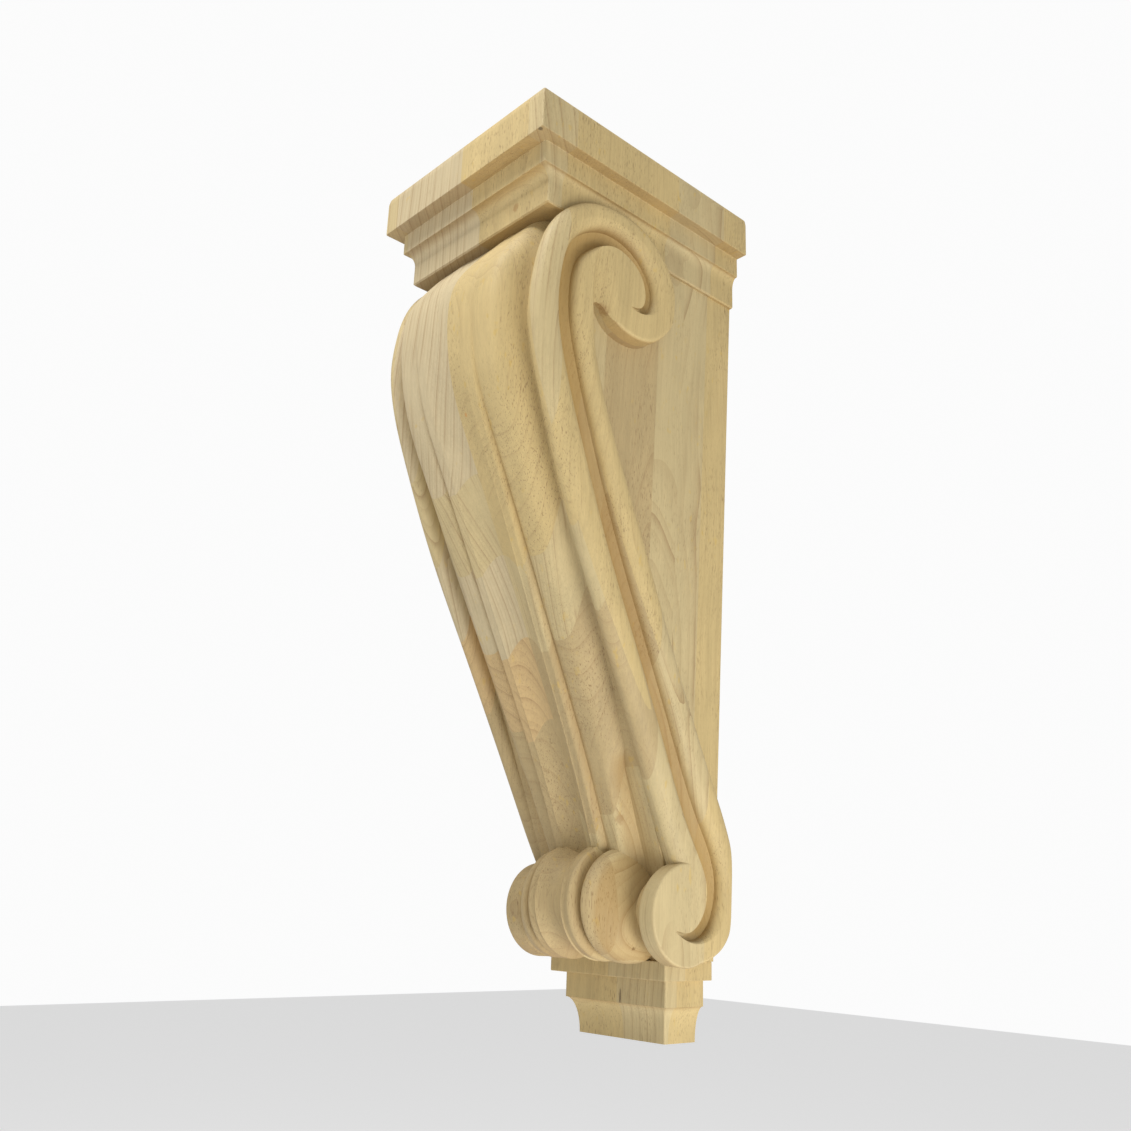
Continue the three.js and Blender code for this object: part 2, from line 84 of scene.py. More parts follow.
# the body between them, and how far a form runs on inside its neighbour
body_width_top = 136.9
body_width_bottom = 103.4
belly_reach = 200.0
bedding = 6.0

# the scroll, its groove and its rounded nose
scroll_relief = 13.4
groove_depth = 10.4
groove_shoulder_share = 0.75
nose_crown_in = 10.0
nose_shoulder = 7.5
nose_flank_in = 8.0
nose_underside = 7.0

cap_height = slab_height + fillet_height + cap_cove_height + frieze_height
foot_height = foot_cove_height + foot_block_height + foot_plinth_height
cap_underside = corbel_height - cap_height
carved_rise = cap_underside - foot_height
print("carved from", round(foot_height, 1), "to", round(cap_underside, 1), "mm")


def out_at(share):
    """Place in y of a share of the belly's reach: minus the share times the reach."""
    return -np.asarray(share, float) * belly_reach


def up_at(share):
    """Height of a share of the carved rise: the foot's top plus the share times the rise."""
    return foot_height + np.asarray(share, float) * carved_rise


def body_half_width(z):
    """Half the body's width, which grows evenly from the foot's top to the cap's underside."""
    up = (np.asarray(z, float) - foot_height) / carved_rise
    return (body_width_bottom + (body_width_top - body_width_bottom) * up) / 2


def scroll_face(z):
    """x of the scroll's face: the side panel plus the scroll's relief."""
    return body_half_width(z) + scroll_relief


# %% [markdown]
# A carver draws a scroll with a thin lath bent past a few pins. The lath's curve is the natural
# cubic spline, so a few rows of numbers give every curve here, and it can be read off as finely
# as the mesh needs.

# %% The bent lath
def lath(knots, rows, at):
    """Natural cubic spline through the rows at the knots, read at the given places: between two
    knots, a straight mix of the two rows plus (a^3 - a) and (b^3 - b) times the bends at them."""
    knots, rows, at = np.asarray(knots, float), np.asarray(rows, float), np.asarray(at, float)
    gap = np.diff(knots)
    slope = np.diff(rows, axis=0) / gap[:, None]
    matrix = np.eye(len(knots))
    inner = np.arange(1, len(knots) - 1)
    matrix[inner, inner] = 2 * (gap[:-1] + gap[1:])
    matrix[inner, inner - 1] = gap[:-1]
    matrix[inner, inner + 1] = gap[1:]
    pull = np.zeros_like(rows)
    pull[1:-1] = 6 * np.diff(slope, axis=0)
    bend = np.linalg.solve(matrix, pull)
    i = np.clip(np.searchsorted(knots, at) - 1, 0, len(knots) - 2)
    h = gap[i][:, None]
    a = (knots[i + 1] - at)[:, None] / h
    b = 1 - a
    cubic = (a ** 3 - a) * bend[i] + (b ** 3 - b) * bend[i + 1]
    return a * rows[i] + b * rows[i + 1] + cubic * h * h / 6


def distances(places):
    """Running distance from row to row."""
    steps = np.linalg.norm(np.diff(places, axis=0), axis=1)
    return np.concatenate([[0], np.cumsum(steps)])


def along(rows, place_columns, count):
    """Rows read evenly by distance along an open lath; the first columns are its places."""
    rows = np.asarray(rows, float)
    knots = distances(rows[:, :place_columns])
    return lath(knots, rows, np.linspace(0, knots[-1], count))


def round_loop(loops, count):
    """Several closed loops of control points, (loops, points, axes), bent as laths that share the
    first loop's distances, and read at an even count of places all the way round."""
    loops = np.asarray(loops, float)
    # the loop runs on past both its ends, so that its bends are right where it closes
    wrap = 3
    points = loops.shape[1]
    index = np.arange(-wrap, points + wrap + 1) % points
    bent = loops[:, index]
    knots = distances(bent[0])
    at = np.linspace(knots[wrap], knots[wrap + points], count, endpoint=False)
    flat = bent.transpose(1, 0, 2).reshape(len(index), -1)
    return lath(knots, flat, at).reshape(count, len(loops), -1).transpose(1, 0, 2)


print("a lath through 3 pins:", lath([0, 1, 2], [[0], [1], [0]], [0.5]).round(3).tolist())

# %% [markdown]
# Every form becomes a closed body: rings of points one after another, skinned with four-sided
# faces, with one flat face over each end. The bodies are then joined and cut with Blender's
# Boolean modifier. That is how a carver's block works too: what is left is the union of the
# forms, less what each tool takes out.

# %% Closed bodies, joins and cuts
def closed_body(name, rings):
    """A closed mesh through rings, an array (rings, points, 3) in millimetres: a face between each
    two neighbours on each two neighbouring rings, and a cap on the first and on the last ring."""
    rings = np.asarray(rings, float)
    count, size = rings.shape[:2]
    r = np.arange(count - 1)[:, None] * size
    k = np.arange(size)[None, :]
    after = (k + 1) % size
    quads = np.stack([r + k, r + after, r + size + after, r + size + k], axis=-1).reshape(-1, 4)
    ends = [list(range(size - 1, -1, -1)), list(range((count - 1) * size, count * size))]
    points = rings.reshape(-1, 3)
    a, b, c, d = (points[quads[:, n]] for n in range(4))
    middle = rings.mean(axis=(0, 1))
    twice_area = np.cross(b - a, d - a) + np.cross(d - c, b - c)
    volume = np.sum(twice_area * ((a + c) / 2 - middle))
    for end in ends:
        loop = points[end]
        after_loop = np.roll(loop, -1, axis=0)
        centre = loop.mean(axis=0)
        volume += np.sum(np.cross(loop - centre, after_loop - centre) * (centre - middle))
    faces = quads.tolist() + ends
    # a volume below nought means that the faces point inwards
    if volume < 0:
        faces = [face[::-1] for face in faces]
    mesh = bpy.data.meshes.new(name)
    mesh.from_pydata((points / 1000).tolist(), [], faces)
    mesh.transform(Matrix.Translation((0, 0, -corbel_height / 2000)))
    body = bpy.data.objects.new(name, mesh)
    bpy.context.scene.collection.objects.link(body)
    return body


def carve(block, tool, operation):
    """Joins the tool to the block (UNION) or takes it away (DIFFERENCE), and drops the tool."""
    modifier = block.modifiers.new("carve", "BOOLEAN")
    modifier.operation = operation
    modifier.solver = "MANIFOLD"
    modifier.object = tool
    bpy.context.view_layer.update()
    evaluated = block.evaluated_get(bpy.context.evaluated_depsgraph_get())
    carved = bpy.data.meshes.new_from_object(evaluated)
    block.modifiers.clear()
    block.data = carved
    bpy.data.objects.remove(tool)
    print(operation.lower(), "leaves", len(carved.polygons), "faces")


def mirrored(rings):
    """The same rings on the other side: x changes sign."""
    return np.asarray(rings) * np.array([-1.0, 1.0, 1.0])


# %% [markdown]
# The cap and the foot are mouldings: a profile carried round three sides, with the back on the
# wall. On the real piece every edge has been eased by sanding, so each corner of the profile and
# each upright corner gets a small round.

# %% Mouldings
edge_ease = 0.9
corner_radius = 1.1
# no ease takes up more than this share of a profile's side
longest_ease = 0.4
corner_steps, cove_steps = 6, 12


def eased(profile, ease):
    """A profile with each corner replaced by a short curve: the corner pulled halfway back to the
    chord between two points that lie the ease away from it, or a share of a short side."""
    profile = np.asarray(profile, float)
    before, corner, after = profile[:-2], profile[1:-1], profile[2:]
    to_before, to_after = before - corner, after - corner
    run_before = np.linalg.norm(to_before, axis=1, keepdims=True)
    run_after = np.linalg.norm(to_after, axis=1, keepdims=True)
    first = corner + to_before / run_before * np.minimum(ease, longest_ease * run_before)
    last = corner + to_after / run_after * np.minimum(ease, longest_ease * run_after)
    turned = np.stack([first, (first + 2 * corner + last) / 4, last], axis=1).reshape(-1, 3)
    return np.concatenate([profile[:1], turned, profile[-1:]])


def moulding(name, profile):
    """A body from a profile of rows [height, width, reach]: at each row, a rectangle with its back
    on the wall and its two front corners rounded by a quarter circle."""
    profile = np.asarray(profile, float)
    z, half, reach = profile[:, 0:1], profile[:, 1:2] / 2, profile[:, 2:3]
    turn = np.linspace(0, math.pi / 2, corner_steps)[None, :]
    x = np.concatenate([-half, -half + corner_radius * (1 - np.cos(turn)),
                        half - corner_radius * (1 - np.sin(turn)), half], axis=1)
    y = np.concatenate([0 * reach, -reach + corner_radius * (1 - np.sin(turn)),
                        -reach + corner_radius * (1 - np.cos(turn)), 0 * reach], axis=1)
    return closed_body(name, np.stack([x, y, z + 0 * x], axis=-1))


def cove(low, high):
    """Profile rows of a cove from low to high, each [height, width, reach]: height by the sine of
    an angle and width by one minus its cosine, which is a quarter of an ellipse."""
    angle = np.linspace(0, math.pi / 2, cove_steps)[:, None]
    low, high = np.asarray(low, float), np.asarray(high, float)
    share = np.concatenate([np.sin(angle), 1 - np.cos(angle), 1 - np.cos(angle)], axis=1)
    return low + (high - low) * share


fillet = (cap_width - 2 * fillet_setback_side, cap_reach - fillet_setback_front)
frieze = (cap_width - 2 * frieze_setback_side, cap_reach - frieze_setback_front)
under_fillet = (fillet[0] - 2 * cove_quirk, fillet[1] - cove_quirk)
cove_foot = cap_underside + frieze_height
cove_top = cove_foot + cap_cove_height
fillet_top = cove_top + fillet_height
# the slab's upper edge draws in a little over its last few millimetres
slab_in, slab_down = 1.6, 5.0
cap = moulding("cap", np.concatenate([
    [[cap_underside, frieze[0] - 2 * edge_ease, frieze[1] - edge_ease]],
    [[cap_underside + edge_ease, *frieze]],
    cove([cove_foot, *frieze], [cove_top, *under_fillet]),
    eased([
        [cove_top, *under_fillet], [cove_top, *fillet],
        [fillet_top, *fillet], [fillet_top, cap_width, cap_reach],
        [corbel_height - slab_down, cap_width, cap_reach],
        [corbel_height - slab_down / 4, cap_width - slab_in, cap_reach - slab_in / 2],
        [corbel_height, cap_width - 2 * slab_in, cap_reach - slab_in],
    ], edge_ease)[1:],
]))
block_foot = foot_cove_height
plinth_foot = block_foot + foot_block_height
inside_body = (foot_plinth[0] - 2 * bedding, foot_plinth[1] - bedding)
foot = moulding("foot", np.concatenate([
    cove([0, *foot_bottom], [block_foot, *foot_block]),
    eased([
        [block_foot, *foot_block], [plinth_foot, *foot_block], [plinth_foot, *foot_plinth],
        [foot_height, *foot_plinth], [foot_height, *inside_body],
        [foot_height + bedding, *inside_body],
    ], edge_ease)[1:],
]))
print("cap", len(cap.data.polygons), "faces, foot", len(foot.data.polygons), "faces")

# %% [markdown]
# Seen from the side, the front swells out to a belly under the cap and sweeps back to the roll.
# Across, it is a flute between two ridges, a V groove outside each ridge, and a broad lobe that
# rolls over into the valley beside the scroll. So the front is a surface of two parameters:
# height, and the place across.

# %% The carved front
# rows of shares [up, out] along the scroll's edge and along the ridges
scroll_front_pins = [
    [0.06, 0.20], [0.141, 0.258], [0.434, 0.588], [0.704, 0.865],
    [0.790, 0.927], [0.844, 0.943], [0.896, 0.932], [0.948, 0.902], [1.0, 0.835],
]
ridge_front_pins = [
    [0.091, 0.300], [0.209, 0.401], [0.434, 0.634], [0.659, 0.875], [0.749, 0.963],
    [0.817, 0.995], [0.873, 1.0], [0.925, 0.971], [0.963, 0.915], [1.0, 0.850], [1.02, 0.81],
]
ridge_half_span, ridge_half_span_top = 17.0, 26.0
flute_depth, vee_width, vee_depth = 6.6, 3.3, 4.8
lobe_rise, lobe_setback = 9.0, 4.4
valley_behind_scroll, valley_inside_panel = 9.0, 5.0
ridge_bead, ridge_quirk = 5.6, 0.35
# the quirk is a sine that starts part way, sharpened by a power, and fades outwards by another
quirk_start, quirk_power, quirk_fade = 0.16, 0.7, 0.6
# points across each part of the section
flute_steps, bead_steps, vee_steps, rise_steps, fall_steps = 17, 8, 7, 9, 28

# rows of shares [up, ridge spread, flute depth, V groove depth, lobe rise, lobe setback]
front_shape_pins = [
    [0.00, 0.00, 0.94, 1.00, 0.67, 1.00], [0.21, 0.27, 1.00, 1.00, 0.67, 1.00],
    [0.40, 0.52, 0.91, 0.96, 0.78, 0.64], [0.57, 0.75, 0.76, 0.83, 0.89, 0.36],
    [0.70, 0.87, 0.55, 0.54, 1.00, 0.20], [0.80, 0.93, 0.30, 0.21, 1.00, 0.14],
    [0.92, 1.00, 0.18, 0.12, 1.00, 0.11],
]


def reach_at(pins, z):
    """y of a line on the front at height z, as a lath past pins of shares [up, out]."""
    pins = np.asarray(pins, float)
    return lath(up_at(pins[:, 0]), out_at(pins[:, 1:2]), np.atleast_1d(z))[:, 0]


def front_shape_at(z):
    """The lengths of the carving across the front at height z, one column each."""
    pins = np.asarray(front_shape_pins)
    up = np.clip((np.atleast_1d(z) - foot_height) / carved_rise, 0, pins[-1, 0])
    spread, flute, vee, rise, setback = lath(pins[:, 0], pins[:, 1:], up).T
    return {
        "ridge": ridge_half_span + (ridge_half_span_top - ridge_half_span) * spread,
        "flute": flute * flute_depth,
        "vee_width": 0 * up + vee_width,
        "vee": vee * vee_depth,
        "rise": rise * lobe_rise,
        "setback": setback * lobe_setback,
        "quirk": ridge_quirk * flute,
    }


def front_profile(shape, valley, valley_depth, fall_power=2.0):
    """Half the section of the front, as two arrays (rows, places): x, and depth behind the ridge.
    Flute: depth times a cosine, up to a sharp arris. Ridge: level, but for the quirk beside the
    arris, the power of a sine. V groove: depth times the squared share. Lobe: up by the cubed
    share, then over by half of one minus the cosine of pi times a power of the share."""
    column = {key: value[:, None] for key, value in shape.items()}
    valley, valley_depth = np.atleast_1d(valley)[:, None], np.atleast_1d(valley_depth)[:, None]
    arris = column["ridge"] - ridge_bead
    groove = column["ridge"] + column["vee_width"]
    crest = groove + column["rise"]
    t = np.linspace(0, 1, flute_steps, endpoint=False)[None, :]
    flute = (t * arris, column["flute"] * np.cos(t * math.pi / 2))
    t = np.linspace(0, 1, bead_steps, endpoint=False)[None, :]
    dip = np.sin(math.pi * (quirk_start + (1 - quirk_start) * t)) ** quirk_power
    dip = dip * (1 - t) ** quirk_fade
    dip[:, 0] = 0
    bead = (arris + (column["ridge"] - arris) * t, column["quirk"] * dip)
    t = np.linspace(0, 1, vee_steps, endpoint=False)[None, :]
    vee = (column["ridge"] + (groove - column["ridge"]) * t, column["vee"] * t * t)
    t = np.linspace(0, 1, rise_steps, endpoint=False)[None, :]
    rise = (groove + (crest - groove) * t,
            column["setback"] + (column["vee"] - column["setback"]) * (1 - t) ** 3)
    t = np.linspace(0, 1, fall_steps)[None, :]
    fall = (1 - np.cos(math.pi * t ** fall_power)) / 2
    lobe = (crest + (valley - crest) * t,
            column["setback"] + (valley_depth - column["setback"]) * fall)
    parts = (flute, bead, vee, rise, lobe)
    x = np.concatenate([part[0] for part in parts], axis=1)
    depth = np.concatenate([part[1] for part in parts], axis=1)
    return x, depth


middle_up = (foot_height + cap_underside) / 2
print("halfway up, the ridges reach", round(-float(reach_at(ridge_front_pins, middle_up)[0]), 1), "mm")

# %% [markdown]
# At the foot of each lobe the carver took one more pass with a wide gouge, beside the scroll. It
# starts in a rounded stop and widens down to the roll. Here it's a soft step in the depth of the
# same surface, so its edge stays as soft as on the real piece.

# %% The gouge at the foot of the lobe
valley_gouge_depth, valley_gouge_edge, valley_gouge_rise = 7.0, 9.0, 6.0
valley_gouge_start, valley_gouge_stop = 175.0, 13.0
valley_gouge_margin = 1.0
# rows [height, x of the inner edge]
valley_gouge_pins = [[60, 33], [90, 34], [119, 36], [140, 39], [160, 42], [173, 50]]


def smooth_share(value):
    """Nought below 0, one above 1, and three times the square less twice the cube between."""
    t = np.clip(value, 0, 1)
    return t * t * (3 - 2 * t)


def valley_gouge(x, z):
    """Extra depth of the gouge at a place on the front: a soft step down at its inner edge, a soft
    rise again to the scroll's flank, and a soft stop at the top."""
    pins = np.asarray(valley_gouge_pins)
    inner = lath(pins[:, 0], pins[:, 1:], np.clip(z, pins[0, 0], pins[-1, 0]))
    across = smooth_share((np.abs(x) - inner + valley_gouge_edge / 2) / valley_gouge_edge)
    to_panel = body_half_width(z)[:, None] - np.abs(x)
    rise = smooth_share((valley_gouge_rise + valley_gouge_margin - to_panel) / valley_gouge_rise)
    stop = smooth_share((valley_gouge_start - z) / valley_gouge_stop)[:, None]
    return valley_gouge_depth * across * (1 - rise) * stop


# rows of points, and how far the front goes back behind the scrolls and in under them
front_rows, front_thickness, front_under_scroll = 250, 24.0, 2.0


def front_rings(rows):
    """Rings of the carved front, from the ridges' lowest pin to inside the cap: the section
    mirrored about the middle, its two ends run in under the scrolls, and a flat back."""
    z = np.linspace(up_at(ridge_front_pins[0][0]), cap_underside + bedding, rows)
    panel = body_half_width(z)
    ridge_y = reach_at(ridge_front_pins, z)
    scroll_y = reach_at(scroll_front_pins, z)
    valley_depth = scroll_y + valley_behind_scroll - ridge_y
    x, depth = front_profile(front_shape_at(z), panel - valley_inside_panel, valley_depth)
    y = ridge_y[:, None] + depth + valley_gouge(x, z)
    edge = (panel + front_under_scroll)[:, None]
    back = np.minimum(scroll_y + front_thickness, -bedding)[:, None]
    valley_y = y[:, -1:]
    ring_x = np.concatenate([-edge, -x[:, :0:-1], x, edge, edge, -edge], axis=1)
    ring_y = np.concatenate([valley_y, y[:, :0:-1], y, valley_y, back, back], axis=1)
    return np.stack([ring_x, ring_y, z[:, None] + 0 * ring_x], axis=-1)


block = closed_body("corbel_carved", front_rings(front_rows))
print("front", len(block.data.polygons), "faces")

# %% [markdown]
# The roll is the same section carried round a level bar. Towards each end its centre draws back
# and drops a little, so the ring's centre is a function of the place across.

# %% The roll
roll_radius, roll_reach, roll_rise = 34.3, 92.4, 32.6
roll_draw_back, roll_end_drop = 18.0, 4.0
roll_vee_width, roll_vee_depth, roll_lobe_setback = 5.0, 7.5, 1.0
roll_valley_depth, roll_fall_power, roll_quirk = 16.5, 1.6, 0.9
roll_gouge_depth, roll_gouge_from, roll_gouge_edge = 9.0, 29.0, 17.0
# where its fade starts, and over how much, as a sine from -1 at the roll's underside to 1 at its top
roll_gouge_fade_from, roll_gouge_fade_over = -0.75, 1.2
# share of the rise at which the roll's ends meet the scrolls
roll_end_share = 0.065
roll_sides = 120


def roll_gouge(x, rise):
    """Depth of the gouge beside the lobe where it runs on over the roll: a soft step across, times
    a soft fade from the roll's top to its underside. The rise is a sine, from -1 to 1."""
    across = smooth_share((np.abs(x) - roll_gouge_from) / roll_gouge_edge)
    return roll_gouge_depth * across * smooth_share((rise - roll_gouge_fade_from) / roll_gouge_fade_over)


def roll_rings(sides):
    """Circles round the bar: radius less the section's depth, and the centre drawn back by the
    outward share to the power of one and a half."""
    end_x = body_half_width(up_at(roll_end_share))
    shape = front_shape_at(foot_height)
    shape["vee_width"] = np.array([roll_vee_width])
    shape["vee"] = np.array([roll_vee_depth])
    shape["setback"] = np.array([roll_lobe_setback])
    shape["quirk"] = np.array([roll_quirk])
    valley_x = end_x - valley_inside_panel
    x, depth = front_profile(shape, valley_x, roll_valley_depth, roll_fall_power)
    x = np.append(x[0], end_x + front_under_scroll)
    depth = np.append(depth[0], roll_valley_depth)
    x = np.concatenate([-x[:0:-1], x])[:, None]
    depth = np.concatenate([depth[:0:-1], depth])[:, None]
    outside = np.clip((np.abs(x) - ridge_half_span) / (end_x - ridge_half_span), 0, 1)
    centre_y = -roll_reach + roll_radius + roll_draw_back * outside ** 1.5
    centre_z = foot_height + roll_rise - roll_end_drop * outside
    angle = np.linspace(0, 2 * math.pi, sides, endpoint=False)[None, :]
    radius = roll_radius - depth - roll_gouge(x, np.sin(angle))
    return np.stack([x + 0 * angle, centre_y + radius * np.cos(angle),
                     centre_z + radius * np.sin(angle)], axis=-1)


roll = closed_body("roll", roll_rings(roll_sides))
print("roll", len(roll.data.polygons), "faces")

# %% [markdown]
# Behind the carving stands a plain block. Its two faces are the side panels, which draw in
# towards the foot.

# %% The plain block with the side panels
panel_outline = np.array([
    [0, 0], [0.20, 0], [0.25, 0.05], [0.22, 0.10],
    [0.655, 0.57], [0.845, 0.79], [0.855, 0.89], [0.75, 1.01], [0, 1.01],
])
panel_z = up_at(panel_outline[:, 1])
core = closed_body("core", [
    np.stack([hand * body_half_width(panel_z), out_at(panel_outline[:, 0]), panel_z], axis=-1)
    for hand in (-1, 1)
])
print("plain block", len(core.data.polygons), "faces")

# %% [markdown]
# The scroll is a raised plate whose edge rounds over, with a groove between two beads, a volute
# at the top that turns in on itself, and a disc at the foot. Its outline is one closed lath. The
# rounded edge is made from loops set in from the outline, and every loop is bent past the same
# number of pins, so no loop can cross another.

# %% The raised scroll
# rows of shares [out, up, crown, flank]: how much of the nose's rounding the edge has there
scroll_outline = np.array([
    [0.210, 0.062, 0.8, 0], [0.228, 0.114, 1, 0.3], [0.258, 0.141, 1, 0.35], [0.335, 0.209, 1, 0.5],
    [0.588, 0.434, 1, 1], [0.740, 0.569, 1, 1], [0.865, 0.704, 1, 1], [0.927, 0.790, 1, 1],
    [0.943, 0.844, 1, 1], [0.932, 0.896, 1, 1], [0.902, 0.948, 0.95, 0.75], [0.840, 0.993, 0.9, 0.25],
    [0.750, 1.022, 0.8, 0], [0.640, 1.033, 0.7, 0], [0.530, 1.028, 0.6, 0], [0.435, 1.007, 0.55, 0],
    [0.370, 0.973, 0.5, 0], [0.344, 0.930, 0.45, 0], [0.357, 0.898, 0.4, 0], [0.395, 0.874, 0.35, 0],
    [0.445, 0.855, 0.3, 0], [0.510, 0.846, 0.25, 0], [0.578, 0.848, 0.25, 0], [0.635, 0.860, 0.25, 0],
    [0.672, 0.878, 0.2, 0], [0.697, 0.876, 0.3, 0], [0.704, 0.848, 0.6, 0], [0.690, 0.810, 0.8, 0],
    [0.627, 0.729, 0.9, 0], [0.460, 0.574, 0.9, 0],
    [0.263, 0.393, 0.9, 0], [0.070, 0.231, 0.9, 0], [-0.005, 0.166, 0.9, 0], [-0.035, 0.125, 0.9, 0],
    [-0.040, 0.087, 0.8, 0], [-0.025, 0.051, 0.7, 0], [0.015, 0.022, 0.5, 0], [0.080, 0.005, 0.3, 0],
    [0.145, 0.000, 0.3, 0], [0.190, 0.017, 0.3, 0],
])
# points down the rounded edge and its flank, and points round each outline
crown_steps, flank_steps, band_points, disc_points = 10, 6, 560, 140


def raised_plate_rings(outline, crown_down, shoulder, count):
    """Rings of a raised plate from outline rows [y, z, crown in, flank in]. Crown: in by one minus
    the sine and down by one minus the cosine of an angle. Flank: down by the sine and in by one
    minus the cosine. Every ring's drop is measured from the scroll's face."""
    y, z, crown_in, flank_in = outline.T
    tangent = np.roll(outline[:, :2], -1, axis=0) - np.roll(outline[:, :2], 1, axis=0)
    tangent /= np.linalg.norm(tangent, axis=1, keepdims=True)
    area = np.sum(y * np.roll(z, -1) - np.roll(y, -1) * z)
    inward = np.stack([-tangent[:, 1], tangent[:, 0]], axis=1) * np.sign(area)
    angle = np.linspace(0, math.pi / 2, crown_steps)[:, None]
    under = np.linspace(0, math.pi / 2, flank_steps)[1:, None]
    inset = np.concatenate([
        crown_in * (1 - np.sin(angle)), flank_in * (1 - np.cos(under)), flank_in[None, :],
    ])
    drop = np.concatenate([
        crown_down * (1 - np.cos(angle)), shoulder + nose_underside * np.sin(under) + 0 * flank_in,
        shoulder + nose_underside + bedding + 0 * flank_in[None, :],
    ])
    places = outline[None, :, :2] + inset[:, :, None] * inward[None]
    rings = round_loop(np.concatenate([places, drop[:, :, None]], axis=2), count)
    ring_y, ring_z, ring_drop = rings[..., 0], rings[..., 1], rings[..., 2]
    return np.stack([scroll_face(ring_z) - ring_drop, ring_y, ring_z], axis=-1)


outline_rows = np.stack([
    out_at(scroll_outline[:, 0]), up_at(scroll_outline[:, 1]),
    scroll_outline[:, 2] * nose_crown_in, scroll_outline[:, 3] * nose_flank_in,
], axis=1)
crown_down = scroll_outline[:, 2] * nose_shoulder
band_rings = raised_plate_rings(outline_rows, crown_down, nose_shoulder, band_points)

disc_reach, disc_depth, disc_height, disc_rise = 69.8, 61.0, 60.0, 27.0
disc_rim, disc_wall, disc_flank_in = 1.6, 9.0, 8.0
disc_pins = 24
turn = np.linspace(0, 2 * math.pi, disc_pins, endpoint=False)
disc_rows = np.stack([
    -disc_reach + disc_depth / 2 * (1 - np.cos(turn)),
    foot_height + disc_rise + disc_height / 2 * np.sin(turn),
    0 * turn + disc_rim, 0 * turn + disc_flank_in,
], axis=1)
disc_rings = raised_plate_rings(disc_rows, 0 * turn + disc_rim, disc_wall, disc_points)
print("scroll outline is", round(float(distances(band_rings[crown_steps - 1])[-1])), "mm round")

# %% [markdown]
# The groove is one profile carried along the scroll: a quarter round off each bead and a hollow
# floor between them. Where it enters a volute, one of the two rounds narrows until it is a wall.
# So each row of the path carries its own two edges, depth and shares, and a lath bends them all.

# %% The groove between the beads
# rows of shares [out, up, out, up, depth, front shoulder, back shoulder], edges on both beads
scroll_groove = np.array([
    [0.565, 0.887, 0.560, 0.890, 0.05, 0.40, 0.04], [0.500, 0.886, 0.520, 0.895, 0.40, 0.40, 0.04],
    [0.435, 0.900, 0.502, 0.909, 0.75, 0.42, 0.04], [0.398, 0.930, 0.507, 0.930, 0.90, 0.44, 0.04],
    [0.410, 0.968, 0.535, 0.950, 1.00, 0.46, 0.04], [0.475, 1.000, 0.585, 0.963, 1.00, 0.46, 0.04],
    [0.565, 1.014, 0.640, 0.967, 1.00, 0.44, 0.05], [0.665, 1.015, 0.694, 0.958, 1.00, 0.42, 0.10],
    [0.760, 1.001, 0.733, 0.937, 1.00, 0.40, 0.19], [0.840, 0.968, 0.755, 0.911, 1.00, 0.36, 0.27],
    [0.882, 0.912, 0.757, 0.876, 1.00, 0.33, 0.31], [0.890, 0.828, 0.738, 0.832, 1.00, 0.32, 0.32],
    [0.855, 0.761, 0.700, 0.781, 1.00, 0.32, 0.32], [0.760, 0.653, 0.610, 0.675, 1.00, 0.32, 0.32],
    [0.635, 0.524, 0.485, 0.549, 1.00, 0.32, 0.32], [0.482, 0.389, 0.335, 0.414, 1.00, 0.32, 0.32],
    [0.330, 0.254, 0.185, 0.279, 1.00, 0.30, 0.32], [0.235, 0.175, 0.083, 0.197, 1.00, 0.25, 0.33],
    [0.170, 0.137, 0.020, 0.150, 1.00, 0.17, 0.34], [0.127, 0.107, -0.005, 0.100, 1.00, 0.09, 0.34],
    [0.118, 0.084, 0.010, 0.064, 1.00, 0.04, 0.34], [0.135, 0.060, 0.055, 0.035, 0.90, 0.04, 0.34],
    [0.170, 0.043, 0.125, 0.022, 0.70, 0.04, 0.36], [0.210, 0.038, 0.200, 0.026, 0.40, 0.04, 0.38],
    [0.250, 0.041, 0.253, 0.038, 0.05, 0.04, 0.40],
])
# points along the groove, across each shoulder and across its floor
groove_stations, shoulder_steps, floor_steps = 330, 9, 12
# the cutter starts this far above the face, and no depth or shoulder is less than this share
groove_lift, least_share = 0.3, 0.02
# the first columns of a row, which are the places of its two edges
edge_columns = 4


def edge_path(rows, count):
    """Rows of shares [out, up, out, up, and more] turned into lengths and read evenly."""
    lengths = [out_at(rows[:, 0]), up_at(rows[:, 1]), out_at(rows[:, 2]), up_at(rows[:, 3])]
    lengths = np.stack(lengths, axis=1)
    return along(np.concatenate([lengths, rows[:, edge_columns:]], axis=1), edge_columns, count)


def cutter_rings(yz, x):
    """Rings of a cutter: its floor at the given places and x, and a lid above the scroll's face."""
    floor_points = np.concatenate([x[..., None], yz], axis=-1)
    lid_yz = yz[:, [-1, 0]]
    lid = np.concatenate([scroll_face(lid_yz[..., 1:2]) + bedding, lid_yz], axis=-1)
    return np.concatenate([floor_points, lid], axis=1)


